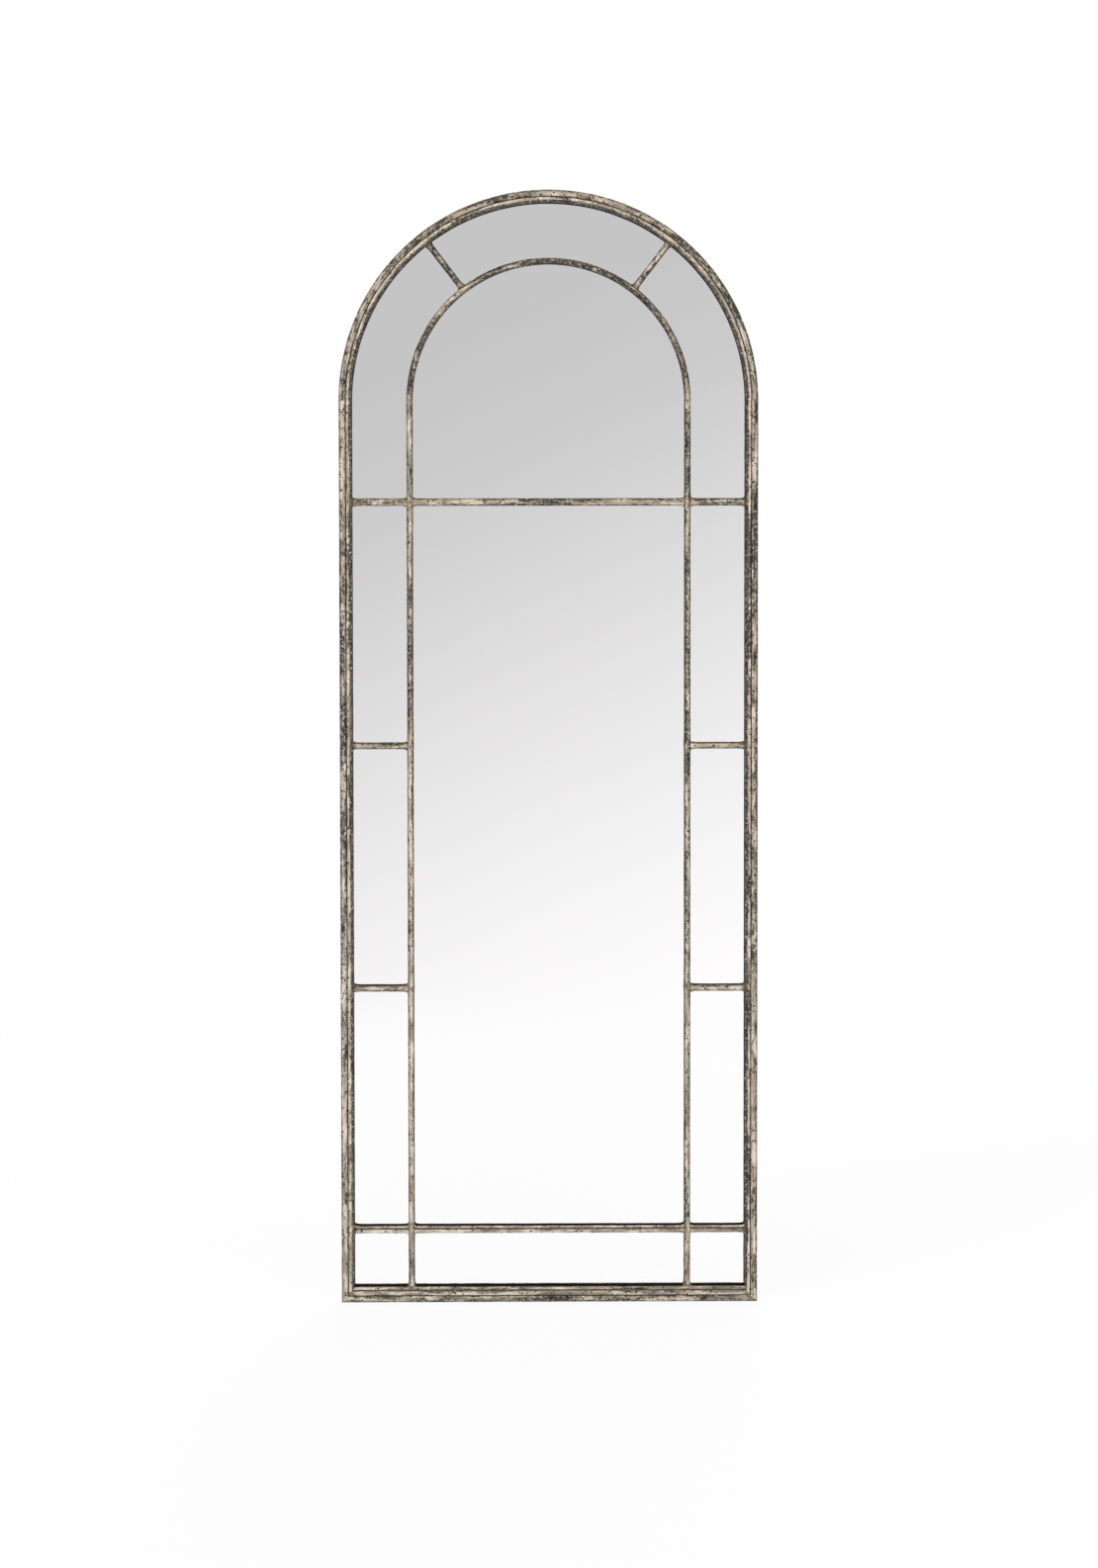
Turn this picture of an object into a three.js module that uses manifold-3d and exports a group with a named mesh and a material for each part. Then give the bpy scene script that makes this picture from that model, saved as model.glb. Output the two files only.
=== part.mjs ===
// An arched window mirror. A frame of rectangular steel tube has a proud inner bead and welded glazing bars.
// They stand in front of one arched sheet of mirror glass. A backing board, held by turn buttons, closes
// the back, and the mirror hangs on two D-rings.
//
// Millimetres. x runs to the right, y from the front to the wall, z up.
// The origin is the middle of the bottom edge, half-way through the depth.

import * as THREE from 'three';
import { mergeVertices } from 'three/addons/utils/BufferGeometryUtils.js';
import Module from 'manifold-3d';

const wasm = await Module();
wasm.setup();

// ---------- Driving dimensions ----------

// Overall, seen from the front
const frameWidth = 600;
const frameHeight = 1600;

// Outer tube
const tubeFace = 10;
const tubeWall = 1.5;
const tubeCorner = 1.2;

// Inner bead, welded to the inside of the tube
const beadFace = 8.5;
const sillBeadFace = 12;
const beadProud = 1.5;
const beadCorner = 1.2;

// Glazing bars
const barFace = 9;
const transomFace = 11;
const barDepth = 7.5;
const barCorner = 1.2;
const barSetBack = 5;
const barGlassGap = 0.5;
const sideLightWidth = 78;
const lowestBarHeight = 105;
const barPitch = 350;
const spokeAngle = 37.5;
const spokeGap = 0.3;

// Glass, tape and board
const tapeThickness = 3;
const tapeInset = 1;
const glassThickness = 4;
const boardThickness = 9;
const boardRecess = 0.5;
const edgeClearance = 1.5;
const sillClearance = 0.3;

// Turn buttons
const buttonsPerSide = 2;
const buttonReach = 24;
const buttonRootRadius = 4.5;
const buttonTipRadius = 3.2;
const buttonThickness = 1.5;
const buttonClearance = 0.3;

// Screws
const screwClearance = 0.3;
const screwShankRadius = 1.6;
const screwHeadRadius = 3.4;
const screwHeadHeight = 2;
const screwPoint = 2;
const screwBite = 6;
const screwTipCover = 2;
const recessWidth = 0.9;
const recessLength = 3.8;
const recessDepth = 1.2;

// Hangers
const hangerInset = 100;
const hangerDrop = 100;
const strapWidth = 14;
const strapLength = 58;
const strapThickness = 1.2;
const strapEndRadius = 5;
const strapScrewDrop = 24;
const strapScrewPitch = 22;
const ringWireRadius = 1.5;
const ringRadius = 12.5;
const ringClearance = 0.3;

// Bumpers
const bumperRadius = 7;
const bumperChamfer = 1;
const bumperInset = 40;
const hangerWallGap = 0.5;

// Facets
const archFacets = 60;
const curveSteps = 6;
const cornerSteps = 1;
const roundFacets = 12;
const wireFacets = 8;

// ---------- Sizes that follow ----------

const springing = frameHeight - frameWidth / 2;
const bandWidth = tubeFace + beadFace;
const sillHeight = tubeFace + sillBeadFace;
const beadDepth = barSetBack + barDepth + barGlassGap - tapeThickness;
const tubeDepth = beadDepth - beadProud + tapeThickness + glassThickness + boardThickness + boardRecess;

const eyeInnerRadius = ringWireRadius + ringClearance;
const eyeRadius = eyeInnerRadius + strapThickness;
const bumperHeight = 2 * eyeRadius + hangerWallGap;
const overallDepth = beadProud + tubeDepth - boardRecess + bumperHeight;

// Planes from the front to the wall
const beadFrontY = -overallDepth / 2;
const beadBackY = beadFrontY + beadDepth;
const tubeFrontY = beadFrontY + beadProud;
const tubeBackY = tubeFrontY + tubeDepth;
const barFrontY = beadFrontY + barSetBack;
const barBackY = barFrontY + barDepth;
const glassFrontY = beadBackY + tapeThickness;
const glassBackY = glassFrontY + glassThickness;
const boardBackY = glassBackY + boardThickness;
const buttonFrontY = tubeBackY + buttonClearance;
const buttonScrewSeatY = buttonFrontY + buttonThickness + buttonClearance;
const strapScrewSeatY = boardBackY + strapThickness;

// Glazing bar layout: the uprights are the width of a side light in from the bead
const daylightHalfWidth = frameWidth / 2 - bandWidth;
const uprightX = daylightHalfWidth - sideLightWidth - barFace / 2;
const sideLightInnerX = uprightX + barFace / 2;
const lowerTransomZ = lowestBarHeight;
const lowSideBarZ = lowestBarHeight + barPitch;
const highSideBarZ = lowestBarHeight + 2 * barPitch;
const upperTransomZ = lowestBarHeight + 3 * barPitch;

// Glass and board, which stand on the bottom rail
const sheetHalfWidth = frameWidth / 2 - tubeFace - edgeClearance;
const sheetSill = tubeFace + sillClearance;

const sides = [
  { name: 'left', sign: -1 },
  { name: 'right', sign: 1 },
];

// ---------- Materials ----------

function paintedSteel() {
  return new THREE.MeshStandardMaterial({ color: 0xb9a98c, roughness: 0.75, metalness: 0.3 });
}

function mirrorSilver() {
  return new THREE.MeshStandardMaterial({ color: 0xe6e8e8, roughness: 0.02, metalness: 1 });
}

function blackTape() {
  return new THREE.MeshStandardMaterial({ color: 0x151515, roughness: 0.9, metalness: 0 });
}

function darkBoard() {
  return new THREE.MeshStandardMaterial({ color: 0x4a3c2e, roughness: 0.85, metalness: 0 });
}

function zincPlate() {
  return new THREE.MeshStandardMaterial({ color: 0xb4b6b4, roughness: 0.35, metalness: 0.9 });
}

function bumperRubber() {
  return new THREE.MeshStandardMaterial({ color: 0x2a2a2a, roughness: 0.8, metalness: 0 });
}

// ---------- Cutting and joining ----------

function solidOf(geometry) {
  const bare = geometry.clone();
  bare.deleteAttribute('normal');
  bare.deleteAttribute('uv');
  const merged = mergeVertices(bare, 1e-4);
  const mesh = new wasm.Mesh({
    numProp: 3,
    vertProperties: Float32Array.from(merged.attributes.position.array),
    triVerts: Uint32Array.from(merged.index.array),
  });
  return new wasm.Manifold(mesh);
}

function geometryOf(solid) {
  const mesh = solid.getMesh();
  const geometry = new THREE.BufferGeometry();
  geometry.setAttribute('position', new THREE.BufferAttribute(mesh.vertProperties, 3));
  geometry.setIndex(new THREE.BufferAttribute(mesh.triVerts, 1));
  geometry.computeVertexNormals();
  return geometry;
}

function cutAway(geometry, cutters) {
  let solid = solidOf(geometry);
  for (const cutter of cutters) solid = solid.subtract(solidOf(cutter));
  return geometryOf(solid);
}

function joinAll(geometries) {
  const [first, ...rest] = geometries.map(solidOf);
  return geometryOf(rest.reduce((whole, next) => whole.add(next), first));
}

function keepInside(geometry, region) {
  return geometryOf(solidOf(geometry).intersect(solidOf(region)));
}

// A drill along y, from one depth to another
function drill(x, z, radius, fromY, toY) {
  const cutter = new THREE.CylinderGeometry(radius, radius, toY - fromY, roundFacets);
  return cutter.translate(x, (fromY + toY) / 2, z);
}

// ---------- Sections and bars ----------

// The outline of a bar's section: a is across the bar, b runs from its front to its back. The front corners
// are rounded.
function sectionOutline(fromA, toA, front, back, corner) {
  const outline = new THREE.Shape();
  outline.moveTo(fromA, back);
  outline.lineTo(fromA, front + corner);
  outline.absarc(fromA + corner, front + corner, corner, Math.PI, 1.5 * Math.PI, false);
  outline.lineTo(toA - corner, front);
  outline.absarc(toA - corner, front + corner, corner, 1.5 * Math.PI, 2 * Math.PI, false);
  outline.lineTo(toA, back);
  outline.closePath();
  return outline;
}

function plainOutline(fromA, toA, front, back) {
  const outline = new THREE.Shape();
  outline.moveTo(fromA, back);
  outline.lineTo(fromA, front);
  outline.lineTo(toA, front);
  outline.lineTo(toA, back);
  outline.closePath();
  return outline;
}

// Frame members are drawn by their distance inwards from the frame's outer edge. The left stile has
// inwards = 1, and the right stile and the rail, the right stile's section turned, have inwards = -1.
function tubeOutline(inwards) {
  const [fromA, toA] = inwards > 0 ? [0, tubeFace] : [-tubeFace, 0];
  const outline = sectionOutline(fromA, toA, tubeFrontY, tubeBackY, tubeCorner);
  const hollow = [fromA + tubeWall, toA - tubeWall, tubeFrontY + tubeWall, tubeBackY - tubeWall];
  outline.holes.push(plainOutline(...hollow));
  return outline;
}

function beadOutline(inwards, band) {
  const [fromA, toA] = inwards > 0 ? [tubeFace, band] : [-band, -tubeFace];
  return sectionOutline(fromA, toA, beadFrontY, beadBackY, beadCorner);
}

function tapeOutline(inwards, band) {
  const outer = tubeFace + edgeClearance;
  const inner = band - tapeInset;
  const [fromA, toA] = inwards > 0 ? [outer, inner] : [-inner, -outer];
  return plainOutline(fromA, toA, beadBackY, glassFrontY);
}

function barOutline(face = barFace) {
  return sectionOutline(-face / 2, face / 2, barFrontY, barBackY, barCorner);
}

function straight(outline, length) {
  return new THREE.ExtrudeGeometry(outline, {
    depth: length,
    bevelEnabled: false,
    curveSegments: cornerSteps,
  });
}

// Slides the end faces of a straight member along it, so that they meet the next member on the corner's
// diagonal: at 45 degrees across the tube, and then, with the slope, across beads of unequal width
function mitre(geometry, length, bothEnds, slope = 1) {
  const position = geometry.attributes.position;
  for (let i = 0; i < position.count; i += 1) {
    const slide = tubeFace + slope * (Math.abs(position.getX(i)) - tubeFace);
    if (position.getZ(i) < length / 2) position.setZ(i, slide);
    else if (bothEnds) position.setZ(i, length - slide);
  }
  return geometry;
}

// Half a ring round the y axis, above its centre
function halfRing(outline, holeOutline) {
  const turned = (shape) => {
    const points = shape.getPoints(cornerSteps);
    if (THREE.ShapeUtils.isClockWise(points)) points.reverse();
    if (!points[0].equals(points.at(-1))) points.push(points[0].clone());
    return new THREE.LatheGeometry(points, 2 * archFacets);
  };
  const upperHalf = new THREE.BoxGeometry(2 * frameWidth, 4 * overallDepth, frameWidth);
  upperHalf.translate(0, 0, frameWidth / 2);
  const ring = holeOutline ? cutAway(turned(outline), [turned(holeOutline)]) : turned(outline);
  return keepInside(ring, upperHalf);
}

// ---------- Scene graph ----------

const group = new THREE.Group();

function addPiece(name, geometry, material, x = 0, y = 0, z = 0) {
  const mesh = new THREE.Mesh(geometry, material);
  mesh.name = name;
  mesh.position.set(x, y, z);
  group.add(mesh);
  return mesh;
}

function spread(count) {
  return Array.from({ length: count }, (_, i) => (i + 0.5) / count);
}

// Where the turn buttons go: evenly along each stile, the rail and the arch. A place's name starts with that
// of its member, and its turn is the direction from the tube to the board, as an angle in the x-z plane.
function buttonPlaces() {
  const centreLine = frameWidth / 2 - tubeFace / 2;
  const places = [];
  for (const { name, sign } of sides) {
    spread(buttonsPerSide).forEach((share, i) => {
      const inwards = sign < 0 ? 0 : Math.PI;
      places.push({ name: `${name}_${i + 1}`, x: sign * centreLine, z: share * springing, turn: inwards });
    });
  }
  spread(buttonsPerSide).forEach((share, i) => {
    const x = (share - 0.5) * frameWidth;
    places.push({ name: `bottom_${i + 1}`, x, z: tubeFace / 2, turn: Math.PI / 2 });
  });
  spread(buttonsPerSide).forEach((share, i) => {
    const angle = Math.PI * (1 - share);
    const x = centreLine * Math.cos(angle);
    const z = springing + centreLine * Math.sin(angle);
    places.push({ name: `arch_${i + 1}`, x, z, turn: angle + Math.PI });
  });
  return places;
}

const buttons = buttonPlaces();

function buttonHoles(member, x, z) {
  const radius = screwShankRadius + screwClearance;
  return buttons
    .filter((place) => place.name.startsWith(member))
    .map((place) => drill(place.x - x, place.z - z, radius, tubeBackY - 2 * tubeWall, tubeBackY + tubeWall));
}

// ---------- Outer tube, bead and tape ----------

function addStiles() {
  const slope = sillBeadFace / beadFace;
  for (const { name, sign } of sides) {
    const inwards = -sign;
    const x = (sign * frameWidth) / 2;
    const tube = mitre(straight(tubeOutline(inwards), springing), springing, false);
    const bead = mitre(straight(beadOutline(inwards, bandWidth), springing), springing, false, slope);
    const tape = mitre(straight(tapeOutline(inwards, bandWidth), springing), springing, false, slope);
    addPiece(`${name}_stile`, cutAway(tube, buttonHoles(name, x, 0)), paintedSteel(), x);
    addPiece(`${name}_bead`, bead, paintedSteel(), x);
    addPiece(`${name}_glazing_tape`, tape, blackTape(), x);
  }
}

function addBottomRail() {
  const slope = beadFace / sillBeadFace;
  const turned = (outline, mitreSlope) => {
    const member = mitre(straight(outline, frameWidth), frameWidth, true, mitreSlope);
    return member.rotateY(Math.PI / 2).translate(-frameWidth / 2, 0, 0);
  };
  const rail = cutAway(turned(tubeOutline(-1), 1), buttonHoles('bottom', 0, 0));
  addPiece('bottom_rail', rail, paintedSteel());
  addPiece('bottom_bead', turned(beadOutline(-1, sillHeight), slope), paintedSteel());
  addPiece('bottom_glazing_tape', turned(tapeOutline(-1, sillHeight), slope), blackTape());
}

function addArch() {
  const radius = frameWidth / 2;
  const tube = sectionOutline(radius - tubeFace, radius, tubeFrontY, tubeBackY, tubeCorner);
  const hollowInner = radius - tubeFace + tubeWall;
  const hollow = plainOutline(hollowInner, radius - tubeWall, tubeFrontY + tubeWall, tubeBackY - tubeWall);
  const bead = sectionOutline(radius - bandWidth, radius - tubeFace, beadFrontY, beadBackY, beadCorner);
  const tapeInner = radius - bandWidth + tapeInset;
  const tapeOuter = radius - tubeFace - edgeClearance;
  const tape = plainOutline(tapeInner, tapeOuter, beadBackY, glassFrontY);
  const rim = cutAway(halfRing(tube, hollow), buttonHoles('arch', 0, springing));
  addPiece('arch_rim', rim, paintedSteel(), 0, 0, springing);
  addPiece('arch_bead', halfRing(bead), paintedSteel(), 0, 0, springing);
  addPiece('arch_glazing_tape', halfRing(tape), blackTape(), 0, 0, springing);
}

// ---------- Glazing bars ----------

function addUprights() {
  for (const { name, sign } of sides) {
    const upright = straight(barOutline(), springing - sillHeight);
    addPiece(`${name}_upright`, upright, paintedSteel(), sign * uprightX, 0, sillHeight);
  }
}

function addInnerArch() {
  const innerRadius = uprightX - barFace / 2;
  const outline = sectionOutline(innerRadius, sideLightInnerX, barFrontY, barBackY, barCorner);
  addPiece('inner_arch', halfRing(outline), paintedSteel(), 0, 0, springing);
}

function addCrossBar(name, outline, fromX, toX, z) {
  const bar = addPiece(name, straight(outline, toX - fromX), paintedSteel(), fromX, 0, z);
  bar.rotation.y = Math.PI / 2;
}

function addSideBars(name, outline, z) {
  addCrossBar(`${name}_left`, outline, -daylightHalfWidth, -sideLightInnerX, z);
  addCrossBar(`${name}_right`, outline, sideLightInnerX, daylightHalfWidth, z);
}

// A transom runs right across, in three lengths that meet the uprights
function addTransom(name, z) {
  const outline = barOutline(transomFace);
  const middleHalfLength = uprightX - barFace / 2;
  addCrossBar(`${name}_middle`, outline, -middleHalfLength, middleHalfLength, z);
  addSideBars(name, outline, z);
}

function addCrossBars() {
  addTransom('lower_transom', lowerTransomZ);
  addSideBars('low_side_bar', barOutline(), lowSideBarZ);
  addSideBars('high_side_bar', barOutline(), highSideBarZ);
  addTransom('upper_transom', upperTransomZ);
}

// Spokes run from the inner arch to the bead, square to both
function addSpokes() {
  const innerRadius = sideLightInnerX + spokeGap;
  const length = daylightHalfWidth - spokeGap - innerRadius;
  for (const { name, sign } of sides) {
    const spoke = straight(barOutline(), length).translate(0, 0, innerRadius);
    const mesh = addPiece(`${name}_spoke`, spoke, paintedSteel(), 0, 0, springing);
    mesh.rotation.y = sign * THREE.MathUtils.degToRad(spokeAngle);
  }
}

// ---------- Glass and board ----------

function archedSheet(thickness) {
  const outline = new THREE.Shape();
  outline.moveTo(-sheetHalfWidth, sheetSill);
  outline.lineTo(sheetHalfWidth, sheetSill);
  outline.lineTo(sheetHalfWidth, springing);
  outline.absarc(0, springing, sheetHalfWidth, 0, Math.PI, false);
  outline.closePath();
  const sheet = new THREE.ExtrudeGeometry(outline, {
    depth: thickness,
    bevelEnabled: false,
    curveSegments: archFacets / 2,
  });
  return sheet.rotateX(Math.PI / 2).translate(0, thickness, 0);
}

function addGlassAndBoard() {
  addPiece('mirror_glass', archedSheet(glassThickness), mirrorSilver(), 0, glassFrontY);
  const radius = screwShankRadius + screwClearance;
  const floorY = screwTipCover - screwClearance;
  const pilots = strapScrewPlaces().map(({ x, z }) => drill(x, z, radius, floorY, 2 * boardThickness));
  addPiece('backing_board', cutAway(archedSheet(boardThickness), pilots), darkBoard(), 0, glassBackY);
}

// ---------- Screws ----------

// A pan-head screw with a cross recess. Its head sits on y = 0 and points to the wall.
function panHeadScrew(shankLength) {
  const r = screwHeadRadius;
  const h = screwHeadHeight;
  const profile = [
    new THREE.Vector2(0, -shankLength),
    new THREE.Vector2(screwShankRadius, -shankLength + screwPoint),
    new THREE.Vector2(screwShankRadius, 0),
    new THREE.Vector2(r, 0),
    new THREE.Vector2(r, 0.45 * h),
    new THREE.Vector2(0.8 * r, 0.85 * h),
    new THREE.Vector2(0.5 * r, h),
    new THREE.Vector2(0, h),
  ];
  const recess = new THREE.BoxGeometry(recessLength, 2 * recessDepth, recessWidth);
  const crossed = recess.clone().rotateY(Math.PI / 2);
  const cutters = [recess, crossed].map((slot) => slot.translate(0, h, 0));
  return cutAway(new THREE.LatheGeometry(profile, roundFacets), cutters);
}

// ---------- Turn buttons ----------

// A pear-shaped plate that turns on the screw through its wide end
function turnButtonPlate() {
  const tipX = buttonReach - buttonTipRadius;
  const tangent = Math.acos((buttonRootRadius - buttonTipRadius) / tipX);
  const outline = new THREE.Shape();
  outline.absarc(0, 0, buttonRootRadius, tangent, 2 * Math.PI - tangent, false);
  outline.absarc(tipX, 0, buttonTipRadius, -tangent, tangent, false);
  outline.closePath();
  const hole = new THREE.Path();
  hole.absarc(0, 0, screwShankRadius + screwClearance, 0, 2 * Math.PI, true);
  outline.holes.push(hole);
  const plate = new THREE.ExtrudeGeometry(outline, {
    depth: buttonThickness,
    bevelEnabled: false,
    curveSegments: curveSteps,
  });
  return plate.rotateX(Math.PI / 2).translate(0, buttonThickness, 0);
}

function addTurnButtons() {
  const shankLength = buttonScrewSeatY - tubeBackY + tubeWall + screwBite;
  for (const { name, x, z, turn } of buttons) {
    const button = addPiece(`turn_button_${name}`, turnButtonPlate(), zincPlate(), x, buttonFrontY, z);
    button.rotation.y = -turn;
    addPiece(`turn_button_screw_${name}`, panHeadScrew(shankLength), zincPlate(), x, buttonScrewSeatY, z);
  }
}

// ---------- Hangers ----------

const hangerX = frameWidth / 2 - hangerInset;
const hingeZ = springing - hangerDrop;
const hingeY = boardBackY + eyeRadius;

const strapScrewDrops = [strapScrewDrop, strapScrewDrop + strapScrewPitch];

function strapScrewPlaces() {
  return sides.flatMap(({ sign }) => {
    const x = sign * hangerX;
    return strapScrewDrops.map((drop) => ({ x, z: hingeZ - drop }));
  });
}

// A strap folded into an eye at its top, round the straight side of the D-ring. The hinge line is the x axis.
function hangerStrap() {
  const plateBackY = strapThickness - eyeRadius;
  const meeting = Math.sqrt(eyeRadius ** 2 - plateBackY ** 2);
  const meetingAngle = Math.atan2(-meeting, plateBackY);
  const profile = new THREE.Shape();
  profile.moveTo(-eyeRadius, -strapLength);
  profile.lineTo(plateBackY, -strapLength);
  profile.lineTo(plateBackY, -meeting);
  profile.absarc(0, 0, eyeRadius, meetingAngle, Math.PI, false);
  profile.closePath();
  const eye = new THREE.Path();
  eye.absarc(0, 0, eyeInnerRadius, 0, 2 * Math.PI, true);
  profile.holes.push(eye);
  const folded = new THREE.ExtrudeGeometry(profile, {
    depth: strapWidth,
    bevelEnabled: false,
    curveSegments: curveSteps,
  });
  folded.translate(0, 0, -strapWidth / 2).rotateY(Math.PI / 2).rotateX(Math.PI / 2);
  const radius = screwShankRadius + screwClearance;
  const holes = strapScrewDrops.map((drop) => drill(0, -drop, radius, -2 * eyeRadius, 0));
  return cutAway(keepInside(folded, strapRegion()), holes);
}

// The strap's outline seen from behind, with a rounded lower end
function strapRegion() {
  const half = strapWidth / 2;
  const centreX = half - strapEndRadius;
  const centreZ = strapEndRadius - strapLength;
  const region = new THREE.Shape();
  region.moveTo(-half, 2 * eyeRadius);
  region.lineTo(-half, centreZ);
  region.absarc(-centreX, centreZ, strapEndRadius, Math.PI, 1.5 * Math.PI, false);
  region.absarc(centreX, centreZ, strapEndRadius, 1.5 * Math.PI, 2 * Math.PI, false);
  region.lineTo(half, 2 * eyeRadius);
  region.closePath();
  const slab = new THREE.ExtrudeGeometry(region, {
    depth: 4 * eyeRadius,
    bevelEnabled: false,
    curveSegments: curveSteps / 2,
  });
  return slab.rotateX(Math.PI / 2).translate(0, 2 * eyeRadius, 0);
}

// A D of round wire. Its straight side lies on the x axis and its bow hangs below.
function hangerRing() {
  const torus = new THREE.TorusGeometry(ringRadius, ringWireRadius, wireFacets, 4 * wireFacets);
  const below = new THREE.BoxGeometry(4 * ringRadius, 4 * ringRadius, 2 * ringRadius);
  below.translate(0, 0, -ringRadius);
  const bow = keepInside(torus.rotateX(Math.PI / 2), below);
  const side = new THREE.CylinderGeometry(ringWireRadius, ringWireRadius, 2 * ringRadius, wireFacets);
  side.rotateZ(Math.PI / 2);
  const corners = sides.map(({ sign }) => {
    const corner = new THREE.SphereGeometry(ringWireRadius, wireFacets, wireFacets / 2);
    return corner.translate(sign * ringRadius, 0, 0);
  });
  return joinAll([bow, side, ...corners]);
}

function addHangers() {
  const shankLength = strapThickness + boardThickness - screwTipCover;
  for (const { name, sign } of sides) {
    const x = sign * hangerX;
    addPiece(`${name}_hanger_strap`, hangerStrap(), zincPlate(), x, hingeY, hingeZ);
    addPiece(`${name}_hanger_ring`, hangerRing(), zincPlate(), x, hingeY, hingeZ);
    const places = strapScrewPlaces().filter((place) => place.x === x);
    places.forEach((place, i) => {
      const screw = panHeadScrew(shankLength);
      addPiece(`${name}_hanger_screw_${i + 1}`, screw, zincPlate(), place.x, strapScrewSeatY, place.z);
    });
  }
}

// ---------- Bumpers ----------

function addBumpers() {
  const profile = [
    new THREE.Vector2(0, 0),
    new THREE.Vector2(bumperRadius, 0),
    new THREE.Vector2(bumperRadius, bumperHeight - bumperChamfer),
    new THREE.Vector2(bumperRadius - bumperChamfer, bumperHeight),
    new THREE.Vector2(0, bumperHeight),
  ];
  const heights = { low: sheetSill + bumperInset, high: springing - bumperInset };
  for (const { name, sign } of sides) {
    const x = sign * (sheetHalfWidth - bumperInset);
    for (const [level, z] of Object.entries(heights)) {
      const bumper = new THREE.LatheGeometry(profile, 2 * roundFacets);
      addPiece(`wall_bumper_${name}_${level}`, bumper, bumperRubber(), x, boardBackY, z);
    }
  }
}

addStiles();
addBottomRail();
addArch();
addUprights();
addInnerArch();
addCrossBars();
addSpokes();
addGlassAndBoard();
addTurnButtons();
addHangers();
addBumpers();

export default group;
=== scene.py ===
"""The looks of an arched window mirror: worn cream paint on a welded steel frame, over one sheet of mirror.

Metres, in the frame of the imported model: x runs to the right, y from the front to the wall, z up.
"""

import math
from types import SimpleNamespace

import bpy
import numpy as np
from mathutils import Matrix, Vector


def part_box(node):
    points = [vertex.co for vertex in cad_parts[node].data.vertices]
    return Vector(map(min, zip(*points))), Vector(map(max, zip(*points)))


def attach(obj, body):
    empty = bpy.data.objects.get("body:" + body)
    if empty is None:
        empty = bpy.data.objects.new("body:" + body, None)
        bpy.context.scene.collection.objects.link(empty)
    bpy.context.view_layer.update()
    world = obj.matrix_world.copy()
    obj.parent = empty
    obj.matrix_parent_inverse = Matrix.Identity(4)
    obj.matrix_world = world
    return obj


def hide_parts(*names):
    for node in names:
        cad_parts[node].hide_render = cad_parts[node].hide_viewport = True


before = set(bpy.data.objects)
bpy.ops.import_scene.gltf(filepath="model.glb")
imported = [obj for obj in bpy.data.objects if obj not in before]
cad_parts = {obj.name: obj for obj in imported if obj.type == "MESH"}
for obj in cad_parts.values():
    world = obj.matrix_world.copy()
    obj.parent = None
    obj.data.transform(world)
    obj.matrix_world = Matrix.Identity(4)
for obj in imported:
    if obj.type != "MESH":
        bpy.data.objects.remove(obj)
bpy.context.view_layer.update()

MM = 0.001
ROOT_BODY = "mirror"
SIDES = {"left": -1, "right": 1}
X, Y, Z = range(3)

# ---------- Photograph and camera, in pixels, metres and radians ----------

PHOTO_WIDTH = 1110
PHOTO_HEIGHT = 1585
PRINCIPAL_X = 555.0
PRINCIPAL_Y = 619.1
FOCAL_PIXELS = 3027.0
SENSOR_MM = 36.0
CAMERA_PLACE = (-0.0361, -4.3, 1.1607)
CAMERA_TILT = 0.0382
CAMERA_YAW = -0.0085
CAMERA_ROLL = 0.0011

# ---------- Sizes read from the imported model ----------


def span(node, axis):
    low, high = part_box(node)
    return low[axis], high[axis]


OUTER_X, BEAD_OUTER_X = (-edge for edge in span("left_stile", X))
BEAD_INNER_X = -span("left_bead", X)[1]
TUBE_FRONT, TUBE_BACK = span("left_stile", Y)
BEAD_FRONT, BEAD_BACK = span("left_bead", Y)
BAR_FRONT, BAR_BACK = span("right_upright", Y)
SPRINGING = span("left_stile", Z)[1]
UPRIGHT_INNER_X, UPRIGHT_OUTER_X = span("right_upright", X)
UPRIGHT_X = (UPRIGHT_INNER_X + UPRIGHT_OUTER_X) / 2
BAR_HALF = (UPRIGHT_OUTER_X - UPRIGHT_INNER_X) / 2
SILL = span("left_upright", Z)[0]
BAND = OUTER_X - BEAD_INNER_X
TUBE_FACE = OUTER_X - BEAD_OUTER_X
TRANSOM_HALF = (span("upper_transom_left", Z)[1] - span("upper_transom_left", Z)[0]) / 2
CROSS_BARS = {
    level: sum(span(f"{level}_left", Z)) / 2
    for level in ("lower_transom", "low_side_bar", "high_side_bar", "upper_transom")
}
TRANSOMS = ("lower_transom", "upper_transom")
SPOKE_ANGLE = math.radians(37.5)
SPOKE_GAP = 0.3 * MM
SPOKE_FROM = UPRIGHT_OUTER_X + SPOKE_GAP
SPOKE_TO = BEAD_INNER_X - SPOKE_GAP

# ---------- Finish of the modelled steel ----------

# Rounded edges, and how closely the skins are divided.
CORNER = 1.3 * MM
BACK_CORNER = 0.5 * MM
CORNER_STEPS = 4
BACK_CORNER_STEPS = 2
FACE_STEP = 2.0 * MM
RUN_STEP = 3.0 * MM
WELD_STEP = 0.8 * MM
WELD_ZONE = 12 * MM
SHARP_ANGLE = math.radians(50)
STRIP_MARGIN = 0.04

# Welds: how far a bar widens at its ends and where others meet it, and how far from there that fades.
FLARE = 2.3 * MM
FLARE_REACH = 2.2 * MM
BULGE = 0.7 * MM
BULGE_REACH = 6 * MM

# How far in the welds of the bottom corners lie, and how far round a weld the paint is tinted.
CORNER_WELD = 3 * MM
WELD_TINT_REACH = 9 * MM

# Dents are two random fields: the share of each, its wavelength, and how it is drawn out along the bar.
DENT_DEPTH = 0.3 * MM
DENTS = ((0.7, 9 * MM, 0.35), (0.3, 3 * MM, 0.6))
WAVES = 24
WAVE_SPREAD = (0.6, 1.6)


# ---------- Mesh building ----------


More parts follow.
